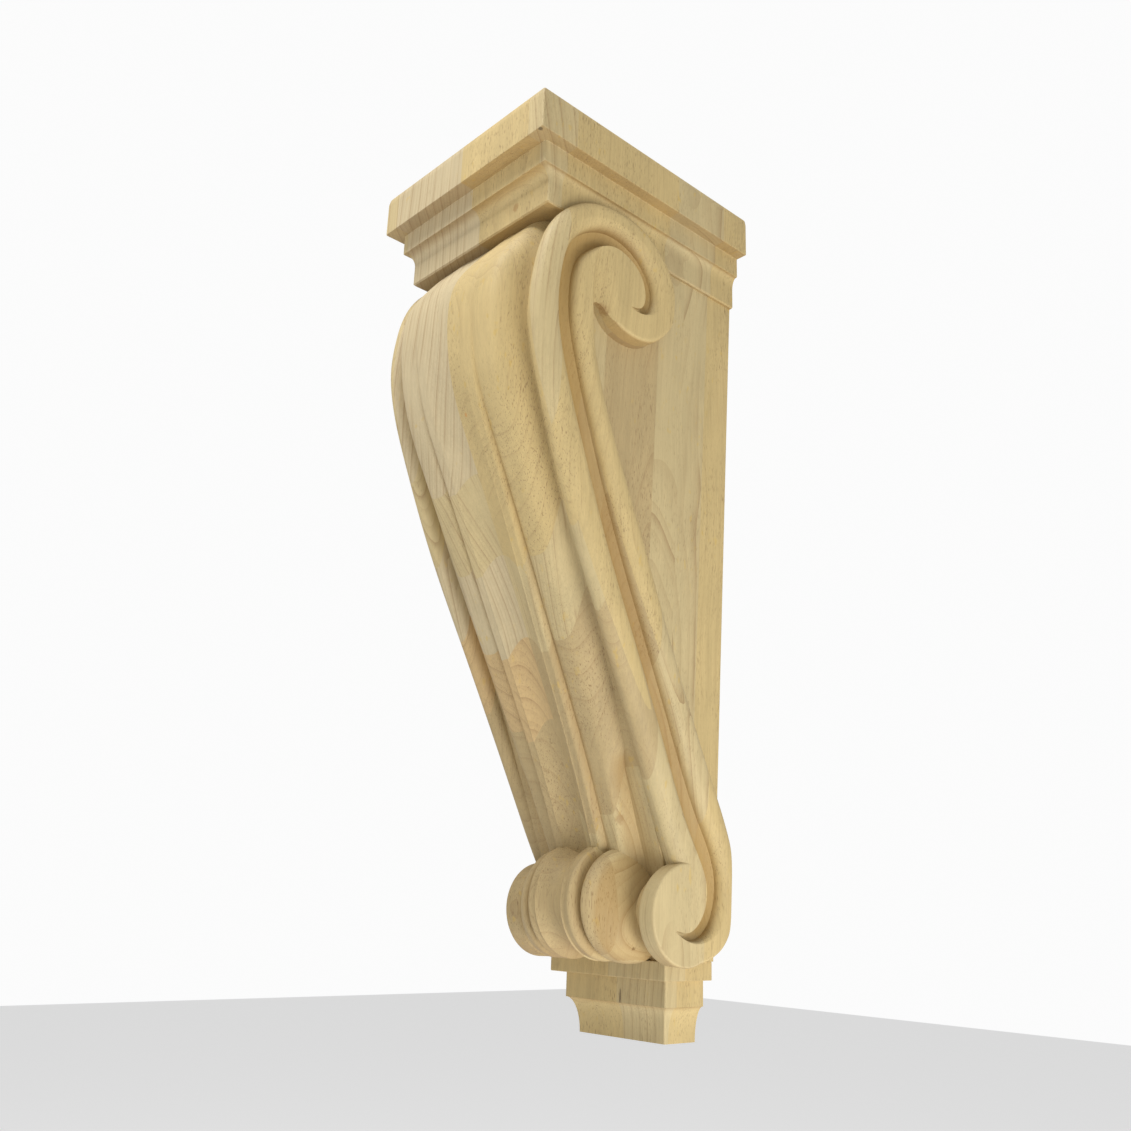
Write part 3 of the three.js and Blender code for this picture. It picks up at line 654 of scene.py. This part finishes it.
def groove_rings(path):
    """Rings of the groove's cutter, which starts a lift above the scroll's face. Across each row,
    a shoulder's depth is the shoulder share times one minus the root of one minus the squared
    place, and the floor adds half a sine."""
    front_yz, back_yz = path[:, None, 0:2], path[:, None, 2:4]
    depth = np.maximum(path[:, 4:5], least_share) * groove_depth
    front, back = np.maximum(path[:, 5:6], least_share), np.maximum(path[:, 6:7], least_share)
    s = np.sin(np.linspace(0, math.pi / 2, shoulder_steps))[None, :]
    f = np.linspace(0, 1, floor_steps)[1:-1][None, :]
    shoulder = groove_shoulder_share * (1 - np.sqrt(1 - s * s))
    floor = groove_shoulder_share + (1 - groove_shoulder_share) * np.sin(math.pi * f)
    on_floor = front + (1 - front - back) * f
    across = np.concatenate([front * s, on_floor, 1 - back * s[:, ::-1]], axis=1)
    share = np.concatenate([shoulder, floor, shoulder[:, ::-1]], axis=1) + 0 * across
    yz = front_yz + (back_yz - front_yz) * across[:, :, None]
    return cutter_rings(yz, scroll_face(yz[..., 1]) + groove_lift - depth * share)


groove_path = edge_path(scroll_groove, groove_stations)
groove_middle = (groove_path[:, 0:2] + groove_path[:, 2:4]) / 2
print("groove runs", round(float(distances(groove_middle)[-1])), "mm")

# %% [markdown]
# The end of the upper volute dies into the back bead in a soft hollow, like the bowl of a spoon,
# that opens at the volute's lower edge. A real carver rounds it out with a spoon gouge. Its
# cutter meets the scroll's face at a tangent on both sides, so no edge is left there.

# %% The spoon hollow
hollow_depth, hollow_skew, hollow_lift = 7.0, 0.62, 0.05
hollow_stations, hollow_steps = 60, 30
# rows of shares [out, up, out, up, depth], edges on the bead and on the volute's flat
hollow_path_pins = np.array([
    [0.692, 0.985, 0.655, 0.972, 0.02], [0.714, 0.960, 0.648, 0.945, 0.18],
    [0.727, 0.930, 0.632, 0.915, 0.45], [0.731, 0.900, 0.612, 0.892, 0.80],
    [0.729, 0.872, 0.598, 0.866, 1.00], [0.720, 0.845, 0.590, 0.840, 1.05],
    [0.706, 0.812, 0.584, 0.810, 1.05],
])


def hollow_rings(count):
    """Rings of the hollow's cutter: across each row the depth is half of one minus the cosine of
    a whole turn times the place to the power of the skew, so the deepest line is near the bead."""
    path = edge_path(hollow_path_pins, count)
    bead_yz, flat_yz = path[:, None, 0:2], path[:, None, 2:4]
    s = np.linspace(0, 1, hollow_steps)[None, :]
    bowl = (1 - np.cos(2 * math.pi * s ** hollow_skew)) / 2
    depth = np.maximum(path[:, 4:5], least_share / 2) * hollow_depth * bowl
    yz = bead_yz + (flat_yz - bead_yz) * s[:, :, None]
    return cutter_rings(yz, scroll_face(yz[..., 1]) + hollow_lift - depth)


print("the hollow is at most", round(hollow_depth * hollow_path_pins[:, 4].max(), 2), "mm deep")

# %% [markdown]
# Now the block is put together in the order that a carver would see it: the front, the roll, the
# plain block, the scrolls with their grooves, the cap and the foot, and last the flat back.

# %% Join and cut
carve(block, roll, "UNION")
carve(block, core, "UNION")
for hand in (np.asarray, mirrored):
    band = closed_body("band", hand(band_rings))
    carve(band, closed_body("disc", hand(disc_rings)), "UNION")
    carve(band, closed_body("groove", hand(groove_rings(groove_path))), "DIFFERENCE")
    carve(band, closed_body("hollow", hand(hollow_rings(hollow_stations))), "DIFFERENCE")
    carve(block, band, "UNION")
carve(block, cap, "UNION")
carve(block, foot, "UNION")
far = corbel_height
behind = [[-far, 0], [far, 0], [far, far], [-far, far]]
wall = closed_body("wall", [[[x, y, z] for x, y in behind] for z in (-far, 2 * far)])
carve(block, wall, "DIFFERENCE")
block.data.name = "corbel_carved"

# %% [markdown]
# Where two forms cross, the cut can leave points almost on one another. The faces are split into
# triangles, which can't fold, and such points are welded. No sliver of a face stays behind, and
# the mesh remains one closed skin.

# %% Weld
weld_distance = 0.01
skin = bmesh.new()
skin.from_mesh(block.data)
bmesh.ops.triangulate(skin, faces=skin.faces)
bmesh.ops.remove_doubles(skin, verts=skin.verts, dist=weld_distance / 1000)
bmesh.ops.dissolve_degenerate(skin, edges=skin.edges, dist=weld_distance / 1000)
open_edges = sum(not edge.is_manifold for edge in skin.edges)
skin.to_mesh(block.data)
print("welded to", len(skin.verts), "points;", open_edges, "open edges")
skin.free()

# %% [markdown]
# A joined mesh has long thin faces beside large flat ones. Normals weighted by face area keep the
# flat faces flat, and edges sharper than the named angle, in degrees, stay crisp.

# %% Smooth and crisp edges
crisp_angle = 32
block.data.polygons.foreach_set("use_smooth", np.ones(len(block.data.polygons), bool))
block.data.set_sharp_from_angle(angle=math.radians(crisp_angle))
weighted = block.modifiers.new("area_normals", "WEIGHTED_NORMAL")
weighted.mode = "FACE_AREA_WITH_ANGLE"
weighted.keep_sharp = True
triangles = sum(len(p.vertices) - 2 for p in block.data.polygons)
print("carved mesh:", len(block.data.vertices), "points,", triangles, "triangles")

# %% [markdown]
# Fibres run up the corbel, so a face that looks up or down is end grain: it drinks the light and
# reads browner. It is browned fully where it looks down and only by a share where it looks up,
# which paints shade onto the undersides. The deep lines of the carving are browned with painted
# shade, together with the browner cut wood in them. Both are kept on the mesh as attributes,
# worked out from its normals and from the lines the carving was made by.

# %% Attributes for end grain with painted underside shade, and for painted shade in the deep lines
# the slopes at which end grain starts, looking down and looking up, and its strength looking up;
# the full strength looking down is partly painted shade on the undersides
end_grain_down, end_grain_up, end_grain_up_share = 0.45, 0.6, 0.3
mesh = block.data
corner_normals = np.empty(3 * len(mesh.loops), dtype=np.float32)
mesh.corner_normals.foreach_get("vector", corner_normals)
slope_up = corner_normals.reshape(-1, 3)[:, 2]
end_grain_and_underside_shade = smooth_share((-slope_up - end_grain_down) / (1 - end_grain_down))
end_grain_and_underside_shade += end_grain_up_share * smooth_share((slope_up - end_grain_up) / (1 - end_grain_up))
end_grain_layer = mesh.attributes.new("end_grain_and_underside_shade", "FLOAT", "CORNER")
end_grain_layer.data.foreach_set("value", end_grain_and_underside_shade.astype(np.float32))

places = np.empty(3 * len(mesh.vertices), dtype=np.float32)
mesh.vertices.foreach_get("co", places)
places = places.reshape(-1, 3) * 1000
side, out, up = np.abs(places[:, 0]), places[:, 1], places[:, 2] + corbel_height / 2

# the painted shade in the deep lines of the carving, together with the browner cut wood there
# lengths, and shares of the groove's half width
panel_clearance, groove_edge, groove_edge_fade = 0.5, 1.02, 0.5
groove_dark_from, groove_dark_over = 2.0, 7.0
front_starts, roll_starts, dark_below_cap = -20.0, -22.0, 20.0
vee_dark_width, roll_vee_dark_width = 1.9, 2.4
# how dark the painted shade of each line is, from 0 to 1, and how soon the gouge reaches that
vee_dark, gouge_dark, gouge_dark_gain = 0.5, 0.7, 1.6
roll_vee_dark, roll_gouge_dark = 0.6, 0.35


def groove_recess_shade(side, out, up):
    """How deep a point lies in the scroll's groove, from 0 to 1, which sets the painted shade there
    together with the browner cut wood: by its drop below the scroll's face, where it is nearer to
    the groove's middle line than the groove is wide."""
    # every third station is close enough
    path, middle = groove_path[::3], groove_middle[::3]
    reach = np.linalg.norm(path[:, 0:2] - path[:, 2:4], axis=1) / 2
    raised = np.flatnonzero(side > body_half_width(up) + panel_clearance)
    yz = np.stack([out[raised], up[raised]], axis=1)
    gap = np.linalg.norm(yz[:, None, :] - middle[None], axis=2) / reach[None]
    inside = smooth_share((groove_edge - gap.min(axis=1)) / groove_edge_fade)
    drop = scroll_face(up[raised]) - side[raised]
    drop = smooth_share((drop - groove_dark_from) / groove_dark_over)
    deep = np.zeros(len(side))
    deep[raised] = inside * drop
    return deep


def front_recess_shade(side, out, up):
    """How near a point of the front lies to a V groove or to the gouge beside the scroll: painted shade
    in the V groove, and painted shade with browner cut wood in the gouge.
    """
    shape = front_shape_at(up)
    line = shape["ridge"] + shape["vee_width"]
    vee = np.exp(-((side - line) / vee_dark_width) ** 2) * shape["vee"] / vee_depth
    below_cap = smooth_share((cap_underside - up) / dark_below_cap)
    on_front = (side < body_half_width(up)) & (up > foot_height) & (out < front_starts)
    gouge = valley_gouge(side[:, None], up)[:, 0] / valley_gouge_depth
    gouge = smooth_share(gouge * gouge_dark_gain)
    return on_front * np.maximum(vee_dark * vee * below_cap, gouge_dark * gouge)


def roll_recess_shade(side, out, up):
    """How near a point of the roll lies to its V groove or to the gouge beside the lobe: painted shade
    in both, with browner cut wood in the gouge.
    """
    rise = (up - foot_height - roll_rise) / roll_radius
    on_roll = (side < body_half_width(up)) & (np.abs(rise) < 1) & (out < roll_starts)
    vee = np.exp(-((side - ridge_half_span - roll_vee_width) / roll_vee_dark_width) ** 2)
    gouge = roll_gouge(side, rise) / roll_gouge_depth
    return on_roll * np.maximum(roll_vee_dark * vee, roll_gouge_dark * gouge)


# painted shade in the deep lines of the carving, with the browner cut wood there
deep = np.maximum(groove_recess_shade(side, out, up), front_recess_shade(side, out, up))
deep = np.maximum(deep, roll_recess_shade(side, out, up))
recess_shade_layer = mesh.attributes.new("painted_recess_shade", "FLOAT", "POINT")
recess_shade_layer.data.foreach_set("value", deep.astype(np.float32))
print("end grain on", round(float((end_grain_and_underside_shade > 0.5).mean()), 3), "of the corners; deep lines on",
      round(float((deep > 0.5).mean()), 3), "of the points")

# %% [markdown]
# The wood is a pale plantation hardwood. The block is glued from staves about 24 mm thick that
# lie one behind another, each with its own tint and its own rings. In the shader, a point's place
# gives its stave, the stave gives a tint and the centre of its rings, and the distance from that
# centre gives the ring. Fibres and pores are noise stretched along the fibres. All of it is cut
# from one block in three dimensions, so it runs through edges as real wood does.

# %% Shader helpers
wood = bpy.data.materials.new("wood")
wood.use_nodes = True
tree = wood.node_tree
shader = tree.nodes["Principled BSDF"]


def feed(socket, value):
    """Links an output to the socket, or types a number or colour into it."""
    if isinstance(value, bpy.types.NodeSocket):
        tree.links.new(value, socket)
    else:
        socket.default_value = value


def calc(operation, *values):
    """One step of arithmetic on numbers or outputs."""
    node = tree.nodes.new("ShaderNodeMath")
    node.operation = operation
    for socket, value in zip(node.inputs, values):
        feed(socket, value)
    return node.outputs[0]


def between(value, low, high):
    """Nought at low and below, one at high and above, smooth between."""
    node = tree.nodes.new("ShaderNodeMapRange")
    node.interpolation_type = "SMOOTHSTEP"
    feed(node.inputs["Value"], value)
    node.inputs["From Min"].default_value = low
    node.inputs["From Max"].default_value = high
    return node.outputs[0]


def vector_calc(operation, *values):
    """One step of arithmetic on vectors."""
    node = tree.nodes.new("ShaderNodeVectorMath")
    node.operation = operation
    for socket, value in zip(node.inputs, values):
        feed(socket, value)
    return node.outputs[1] if operation in {"LENGTH", "DISTANCE"} else node.outputs[0]


def blend(amount, first, second, kind="MIX"):
    """Mixes two colours by an amount. The Mix node's colours are its inputs 6 and 7 and output 2."""
    node = tree.nodes.new("ShaderNodeMix")
    node.data_type = "RGBA"
    node.blend_type = kind
    feed(node.inputs[0], amount)
    feed(node.inputs[6], first)
    feed(node.inputs[7], second)
    return node.outputs[2]


def speckle(place, across, lengthwise, detail=2.0, rough=0.5):
    """Noise with patches of the given size in millimetres, across and along the fibres."""
    node = tree.nodes.new("ShaderNodeTexNoise")
    feed(node.inputs["Vector"], vector_calc("MULTIPLY", place, (1 / across, 1 / across, 1 / lengthwise)))
    node.inputs["Scale"].default_value = 1.0
    node.inputs["Detail"].default_value = detail
    node.inputs["Roughness"].default_value = rough
    return node.outputs["Fac"]


def patches(place, across, lengthwise, low, high):
    """Patches of soft noise: nought where it lies below low, one where it lies above high."""
    return between(speckle(place, across, lengthwise, detail=1.0), low, high)


def srgb(red, green, blue):
    """A colour named as on a screen, 0 to 255, turned into the linear colour that shaders use, by
    the screen standard's curve: a short straight start, and then a power of 2.4."""
    share = np.array([red, green, blue]) / 255
    linear = np.where(share <= 0.04045, share / 12.92, ((share + 0.055) / 1.055) ** 2.4)
    return (*map(float, linear), 1.0)


# %% [markdown]
# Each row below is one layer of staves, from the belly's nose back to the wall, and each letter
# in it is one stave, from left to right. The tints were judged from the photograph.

# %% Staves
stave_thickness, stave_front = 23.8, -191.0
stave_edges = (-70.5, 3.0, 70.5)
stave_layers = ["bgyb", "ybyy", "ogby", "bosy", "sssy", "ysbb", "bybb", "ybyy"]
# screen colour, strength of the ring lines, strength of the pores, and whether the rings stand
# upright to the front (quarter sawn, 1) or lie flat to it (flat sawn, 0)
stave_kinds = {
    "g": (srgb(192, 175, 138), 1.0, 0.3, 1.0),
    "b": (srgb(192, 173, 128), 0.9, 0.6, 1.0),
    "y": (srgb(194, 171, 119), 0.4, 1.0, 0.0),
    # the staves round the roll: a darker tint, partly their own tone and partly painted shade under the
    # belly
    "s": (srgb(180, 158, 114), 0.5, 1.0, 0.0),
    "o": (srgb(194, 166, 118), 0.8, 0.7, 0.0),
}
strips = len(stave_edges) + 1
stave_count = strips * len(stave_layers)
# how finely and how far the fibres wander, across and along
wander_fineness, wander_reach = (0.012, 0.012, 0.006), (22.0, 22.0, 0.0)
stave_seed = 7.0

coordinates = tree.nodes.new("ShaderNodeTexCoord").outputs["Object"]
place = vector_calc("MULTIPLY", coordinates, (1000.0, 1000.0, 1000.0))
drift = tree.nodes.new("ShaderNodeTexNoise")
feed(drift.inputs["Vector"], vector_calc("MULTIPLY", place, wander_fineness))
drift.inputs["Scale"].default_value = 1.0
drift.inputs["Detail"].default_value = 1.0
wander = vector_calc("SUBTRACT", drift.outputs["Color"], (0.5, 0.5, 0.5))
wander = vector_calc("MULTIPLY", wander, wander_reach)
axes = tree.nodes.new("ShaderNodeSeparateXYZ")
feed(axes.inputs[0], place)
x, y, z = axes.outputs
layer = calc("FLOOR", calc("DIVIDE", calc("SUBTRACT", y, stave_front), stave_thickness))
layer = calc("MINIMUM", calc("MAXIMUM", layer, 0.0), len(stave_layers) - 1.0)
strip = 0.0
for edge in stave_edges:
    strip = calc("ADD", strip, calc("GREATER_THAN", x, edge))
stave = calc("ADD", calc("MULTIPLY", layer, strips), strip)
stave_share = calc("DIVIDE", calc("ADD", stave, 0.5), stave_count)


def per_stave(colours):
    """A ramp of flat steps, one for each stave, read at the stave's number."""
    ramp = tree.nodes.new("ShaderNodeValToRGB")
    ramp.color_ramp.interpolation = "CONSTANT"
    stops = ramp.color_ramp.elements
    while len(stops) < len(colours):
        stops.new(len(stops) / len(colours))
    for number, colour in enumerate(colours):
        stops[number].position = number / len(colours)
        stops[number].color = colour
    feed(ramp.inputs[0], stave_share)
    return ramp.outputs["Color"]


kinds = [stave_kinds[letter] for row in stave_layers for letter in row]
tint = per_stave([kind[0] for kind in kinds])
habit = tree.nodes.new("ShaderNodeSeparateColor")
feed(habit.inputs[0], per_stave([(*kind[1:], 1.0) for kind in kinds]))
line_strength, pore_strength, quarter_sawn = habit.outputs
dice = tree.nodes.new("ShaderNodeTexWhiteNoise")
dice.noise_dimensions = "1D"
feed(dice.inputs["W"], calc("ADD", stave, stave_seed))
throws = tree.nodes.new("ShaderNodeSeparateColor")
feed(throws.inputs[0], dice.outputs["Color"])
side_throw, depth_throw, slant_throw = throws.outputs
print(stave_count, "staves in", len(stave_layers), "layers")

# %% [markdown]
# Rings: the late wood closes each year with a thin dark line. Where the surface slants to the
# fibres, the same rings come out as long loops and arches. Between two years lie fainter lines.

# %% Rings, fibres and pores
ring_pitch, late_wood_power, early_wood_ends = 6.5, 9.0, 0.06
fine_lines_a_year, fine_line_power, fine_line_strength = 2.7, 3.0, 0.36
# the rings' centre: the staves' spacing, how far it is thrown, and how far off quarter sawing puts it
strip_spacing, centre_throw, quarter_sawn_away = 66.0, 40.0, 150.0
centre_depth, centre_depth_throw, ring_slant = -20.0, -110.0, 0.10
# added so that the count of years never falls below nought
years_before = 200.0
# patches: their size across and along the fibres, and the noise at which they start and are full
fading_lines, wide_bands = (28.0, 70.0, 0.28, 0.55), (11.0, 260.0, 0.35, 0.7)
pore_spots, pore_regions = (0.55, 4.6, 0.58, 0.72), (30.0, 90.0, 0.38, 0.62)
stain_spots, stain_regions = (3.4, 8.0, 0.64, 0.74), (34.0, 90.0, 0.5, 0.62)
# the share of the pores that is left between their regions
pores_everywhere = 0.25

centre = tree.nodes.new("ShaderNodeCombineXYZ")
stave_middle = calc("MULTIPLY", calc("SUBTRACT", strip, (strips - 1) / 2), strip_spacing)
toss = calc("SUBTRACT", side_throw, 0.5)
far_side = calc("MULTIPLY", calc("MULTIPLY", calc("SIGN", toss), quarter_sawn), quarter_sawn_away)
near_middle = calc("ADD", stave_middle, calc("MULTIPLY", toss, centre_throw))
feed(centre.inputs[0], calc("ADD", near_middle, far_side))
feed(centre.inputs[1], calc("ADD", calc("MULTIPLY", depth_throw, centre_depth_throw), centre_depth))
flat_place = vector_calc("MULTIPLY", vector_calc("ADD", place, wander), (1.0, 1.0, 0.0))
radius = vector_calc("DISTANCE", flat_place, centre.outputs[0])
slant = calc("MULTIPLY", calc("SUBTRACT", slant_throw, 0.5), ring_slant)
years = calc("DIVIDE", calc("ADD", radius, calc("MULTIPLY", z, slant)), ring_pitch)
year_share = calc("FRACT", calc("ADD", years, years_before))
late_wood = calc("POWER", year_share, late_wood_power)
early_wood = between(year_share, 0.0, early_wood_ends)
fine_share = calc("FRACT", calc("MULTIPLY", years, fine_lines_a_year))
fine_line = calc("MULTIPLY", calc("POWER", fine_share, fine_line_power), fine_line_strength)
line_fade = patches(place, *fading_lines)
ring_line = calc("MAXIMUM", calc("MULTIPLY", late_wood, early_wood), fine_line)
ring_line = calc("MULTIPLY", ring_line, calc("MULTIPLY", line_strength, line_fade))
faint_bands = patches(place, *wide_bands)

grain_place = vector_calc("ADD", place, wander)
fibres = speckle(grain_place, 1.6, 90.0, 3.0, 0.6)
hairs = speckle(grain_place, 0.7, 30.0, 2.0, 0.6)
pores = calc("MULTIPLY", patches(grain_place, *pore_spots), pore_strength)
in_region = patches(place, *pore_regions)
in_region = calc("ADD", calc("MULTIPLY", in_region, 1 - pores_everywhere), pores_everywhere)
pores = calc("MULTIPLY", pores, in_region)
blotches = speckle(place, 26.0, 60.0, 2.0)
stains = calc("MULTIPLY", patches(place, *stain_spots), patches(place, *stain_regions))

# %% [markdown]
# Flaws are part of the piece: small knots, a pit, resin spots and a dark streak, each at its own
# place with its own size.

# %% Flaws
knot_brown, pit_brown, resin = srgb(120, 86, 48), srgb(70, 50, 32), srgb(190, 130, 60)
flaw_uneven, flaw_fades_from, flaw_full_at = 0.9, 1.15, 0.55
# rows: place in millimetres, reach across, reach along, colour, strength
flaws = [
    ((36.8, -69.1, -151.5), 3.4, 3.8, srgb(140, 105, 62), 0.45),
    ((41.3, -59.6, -225.8), 1.4, 1.8, pit_brown, 0.9),
    ((9.7, -184.4, 85.3), 1.6, 1.8, resin, 0.6),
    ((11.5, -190.0, 102.0), 1.2, 1.3, resin, 0.5),
    ((49.0, -163.0, 196.0), 3.8, 3.6, srgb(170, 120, 60), 0.45),
    ((75.0, -134.0, 153.0), 6.0, 6.0, srgb(140, 104, 60), 0.6),
    ((6.0, -34.4, -254.5), 0.8, 5.0, pit_brown, 0.7),
    ((80.5, -195.0, 249.9), 1.7, 1.0, srgb(84, 74, 56), 0.7),
    ((40.0, -178.5, 222.0), 2.8, 3.4, srgb(150, 108, 56), 0.5),
    ((55.9, -148.0, 60.0), 0.7, 6.0, knot_brown, 0.5),
]


def flaw_mask(spot, across, lengthwise):
    """One at the flaw's place, fading out at its reach, with an edge made uneven by noise."""
    away = vector_calc("SUBTRACT", place, spot)
    away = vector_calc("MULTIPLY", away, (1 / across, 1 / across, 1 / lengthwise))
    uneven = calc("MULTIPLY", calc("SUBTRACT", speckle(place, 1.5, 2.5, 1.0), 0.5), flaw_uneven)
    return between(calc("ADD", vector_calc("LENGTH", away), uneven), flaw_fades_from, flaw_full_at)


print(len(flaws), "flaws")

# %% [markdown]
# The stave's tint is shaded by fibres, hairs, blotches and bands. Ring lines, pores, stains and
# flaws are then laid over it in their own colours, and last the painted shade of the deep lines,
# with the browner cut wood there, and the end grain, with its painted shade on the undersides.

# %% Colour
base_shade, fibre_shade, hair_shade, blotch_shade, band_shade = 0.84, 0.24, 0.16, 0.2, 0.05
ring_brown, ring_amount = srgb(142, 112, 74), 0.72
pore_brown, pore_amount = srgb(112, 84, 52), 0.6
stain_yellow, stain_amount = srgb(192, 160, 78), 0.4
# brown of the painted shade in the deep lines, together with the browner cut wood there
recess_shade_brown, recess_shade_amount = srgb(152, 116, 54), 0.6
end_brown, end_amount = srgb(186, 160, 128), 0.5

shade = calc("ADD", base_shade, calc("MULTIPLY", fibres, fibre_shade))
for pattern, strength in ((hairs, hair_shade), (blotches, blotch_shade)):
    shade = calc("ADD", shade, calc("MULTIPLY", calc("SUBTRACT", pattern, 0.5), strength))
shade = calc("SUBTRACT", shade, calc("MULTIPLY", faint_bands, band_shade))
grey_shade = tree.nodes.new("ShaderNodeCombineColor")
for socket in grey_shade.inputs[:3]:
    feed(socket, shade)
colour = blend(1.0, tint, grey_shade.outputs[0], "MULTIPLY")
colour = blend(calc("MULTIPLY", ring_line, ring_amount), colour, ring_brown)
colour = blend(calc("MULTIPLY", pores, pore_amount), colour, pore_brown)
colour = blend(calc("MULTIPLY", stains, stain_amount), colour, stain_yellow)
for spot, across, lengthwise, flaw_colour, strength in flaws:
    mask = calc("MULTIPLY", flaw_mask(spot, across, lengthwise), strength)
    colour = blend(mask, colour, flaw_colour)


def read_attribute(name):
    """A number kept on the mesh."""
    node = tree.nodes.new("ShaderNodeAttribute")
    node.attribute_name = name
    return node.outputs["Fac"]


# painted shade in the deep lines of the carving
colour = blend(calc("MULTIPLY", read_attribute("painted_recess_shade"), recess_shade_amount), colour, recess_shade_brown)
# end grain browns the colour; its fuller strength on faces that look down is painted shade on the
# undersides
end_shade = blend(1.0, colour, end_brown, "MULTIPLY")
colour = blend(calc("MULTIPLY", read_attribute("end_grain_and_underside_shade"), end_amount), colour, end_shade)
feed(shader.inputs["Base Color"], colour)

# %% [markdown]
# Sanded bare wood is matt, with a faint sheen along the fibres. The hand work leaves the surface a
# little wavy, and the pores and late-wood lines can be felt.

# %% Surface
least_roughness, fibre_roughness, sheen = 0.55, 0.2, 0.35
wave_relief, fibre_relief, pore_relief = 0.9, 0.1, 0.12
bump_strength, bump_metres = 0.7, 0.0009

feed(shader.inputs["Roughness"], calc("ADD", least_roughness, calc("MULTIPLY", fibres, fibre_roughness)))
shader.inputs["Specular IOR Level"].default_value = sheen
waves = speckle(place, 14.0, 26.0, 1.0)
relief = calc("ADD", calc("MULTIPLY", waves, wave_relief), calc("MULTIPLY", fibres, fibre_relief))
relief = calc("SUBTRACT", relief, calc("MULTIPLY", pores, pore_relief))
bump = tree.nodes.new("ShaderNodeBump")
bump.inputs["Strength"].default_value = bump_strength
bump.inputs["Distance"].default_value = bump_metres
feed(bump.inputs["Height"], relief)
feed(shader.inputs["Normal"], bump.outputs[0])
mesh.materials.clear()
mesh.materials.append(wood)
print("wood shader has", len(tree.nodes), "nodes")

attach(block, "root")
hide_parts("corbel")

# %% [markdown]
# The camera stands where the photograph's did, worked out from the straight edges of the cap and
# the foot.

# %% Camera
photo_width = 1131
focal_pixels = 1114.36
sensor_width = 36
# metres from the middle of the back, but the height from the corbel's underside
camera_right, camera_out, camera_up = 0.5210, -0.5619, 0.0782
camera_data = bpy.data.cameras.new("camera")
camera_data.sensor_fit = "HORIZONTAL"
camera_data.sensor_width = sensor_width
camera_data.lens = focal_pixels / photo_width * sensor_width
camera_data.clip_start = 0.01
camera_data.clip_end = 100
camera = bpy.data.objects.new("camera", camera_data)
bpy.context.scene.collection.objects.link(camera)
# where it looks, and roughly where its top is
forward = Vector((-0.7078, 0.6440, 0.2903)).normalized()
upward = Vector((0.1895, -0.2227, 0.9563))
right = forward.cross(upward).normalized()
upward = right.cross(forward)
camera.matrix_world = Matrix((
    (right.x, upward.x, -forward.x, camera_right),
    (right.y, upward.y, -forward.y, camera_out),
    (right.z, upward.z, -forward.z, camera_up - corbel_height / 2000),
    (0, 0, 0, 1),
))
bpy.context.scene.camera = camera
print("camera looks along", [round(v, 3) for v in forward])

# %% [markdown]
# The photograph has a broad soft light high in front, which leaves the lower front and the
# undersides dim, and a second soft light low on the right, which brightens the side, the disc and
# the foot. A weak third light reaches under the cap. The page behind is white, so the world shows
# white to the camera and a dimmer grey to the wood.

# %% Studio
world = bpy.data.worlds.new("studio")
bpy.context.scene.world = world
world.use_nodes = True
# the world's strength for the wood and for the camera
ambient, white_page = 0.35, 0.97
background = world.node_tree.nodes["Background"]
background.inputs["Color"].default_value = (1, 1, 1, 1)
seen = world.node_tree.nodes.new("ShaderNodeLightPath")
level = world.node_tree.nodes.new("ShaderNodeMapRange")
level.inputs["To Min"].default_value = ambient
level.inputs["To Max"].default_value = white_page
world.node_tree.links.new(seen.outputs["Is Camera Ray"], level.inputs["Value"])
world.node_tree.links.new(level.outputs[0], background.inputs["Strength"])


def soft_light(name, place, aim, size, power, spread=180):
    """A square area light of the given size, aimed at a place, with its beam kept to an angle."""
    data = bpy.data.lights.new(name, "AREA")
    data.size = size
    data.energy = power
    data.spread = math.radians(spread)
    lamp = bpy.data.objects.new(name, data)
    bpy.context.scene.collection.objects.link(lamp)
    lamp.location = place
    lamp.rotation_euler = (Vector(aim) - Vector(place)).to_track_quat("-Z", "Y").to_euler()
    print(name, "light,", power, "W")


middle_of_corbel, front_of_cap = (0, -0.08, 0), (0, -0.18, 0.22)
soft_light("key", (0.05, -0.9, 1.6), middle_of_corbel, size=0.8, power=32)
soft_light("low_right", (0.95, -0.15, -0.6), middle_of_corbel, size=0.6, power=9)
soft_light("front_left", (-0.45, -0.95, 0.2), front_of_cap, size=0.3, power=0.2, spread=50)
bpy.context.scene.view_settings.view_transform = "Standard"

# %% [markdown]
# A pale floor lies far below. It isn't part of the corbel, so it is only staged.

# %% Floor
floor_level, floor_half = -1.0, 8.0
floor_white, floor_roughness, floor_glow = 0.9, 0.9, 0.38
floor_mesh = bpy.data.meshes.new("floor")
corners = [(-1, -1), (1, -1), (1, 1), (-1, 1)]
floor_points = [(i * floor_half, j * floor_half, floor_level) for i, j in corners]
floor_mesh.from_pydata(floor_points, [], [[0, 1, 2, 3]])
floor = bpy.data.objects.new("floor", floor_mesh)
bpy.context.scene.collection.objects.link(floor)
floor_paint = bpy.data.materials.new("floor_paint")
floor_paint.use_nodes = True
floor_shader = floor_paint.node_tree.nodes["Principled BSDF"]
floor_shader.inputs["Base Color"].default_value = (floor_white, floor_white, floor_white, 1)
floor_shader.inputs["Roughness"].default_value = floor_roughness
floor_shader.inputs["Emission Color"].default_value = (1, 1, 1, 1)
floor_shader.inputs["Emission Strength"].default_value = floor_glow
floor_mesh.materials.append(floor_paint)
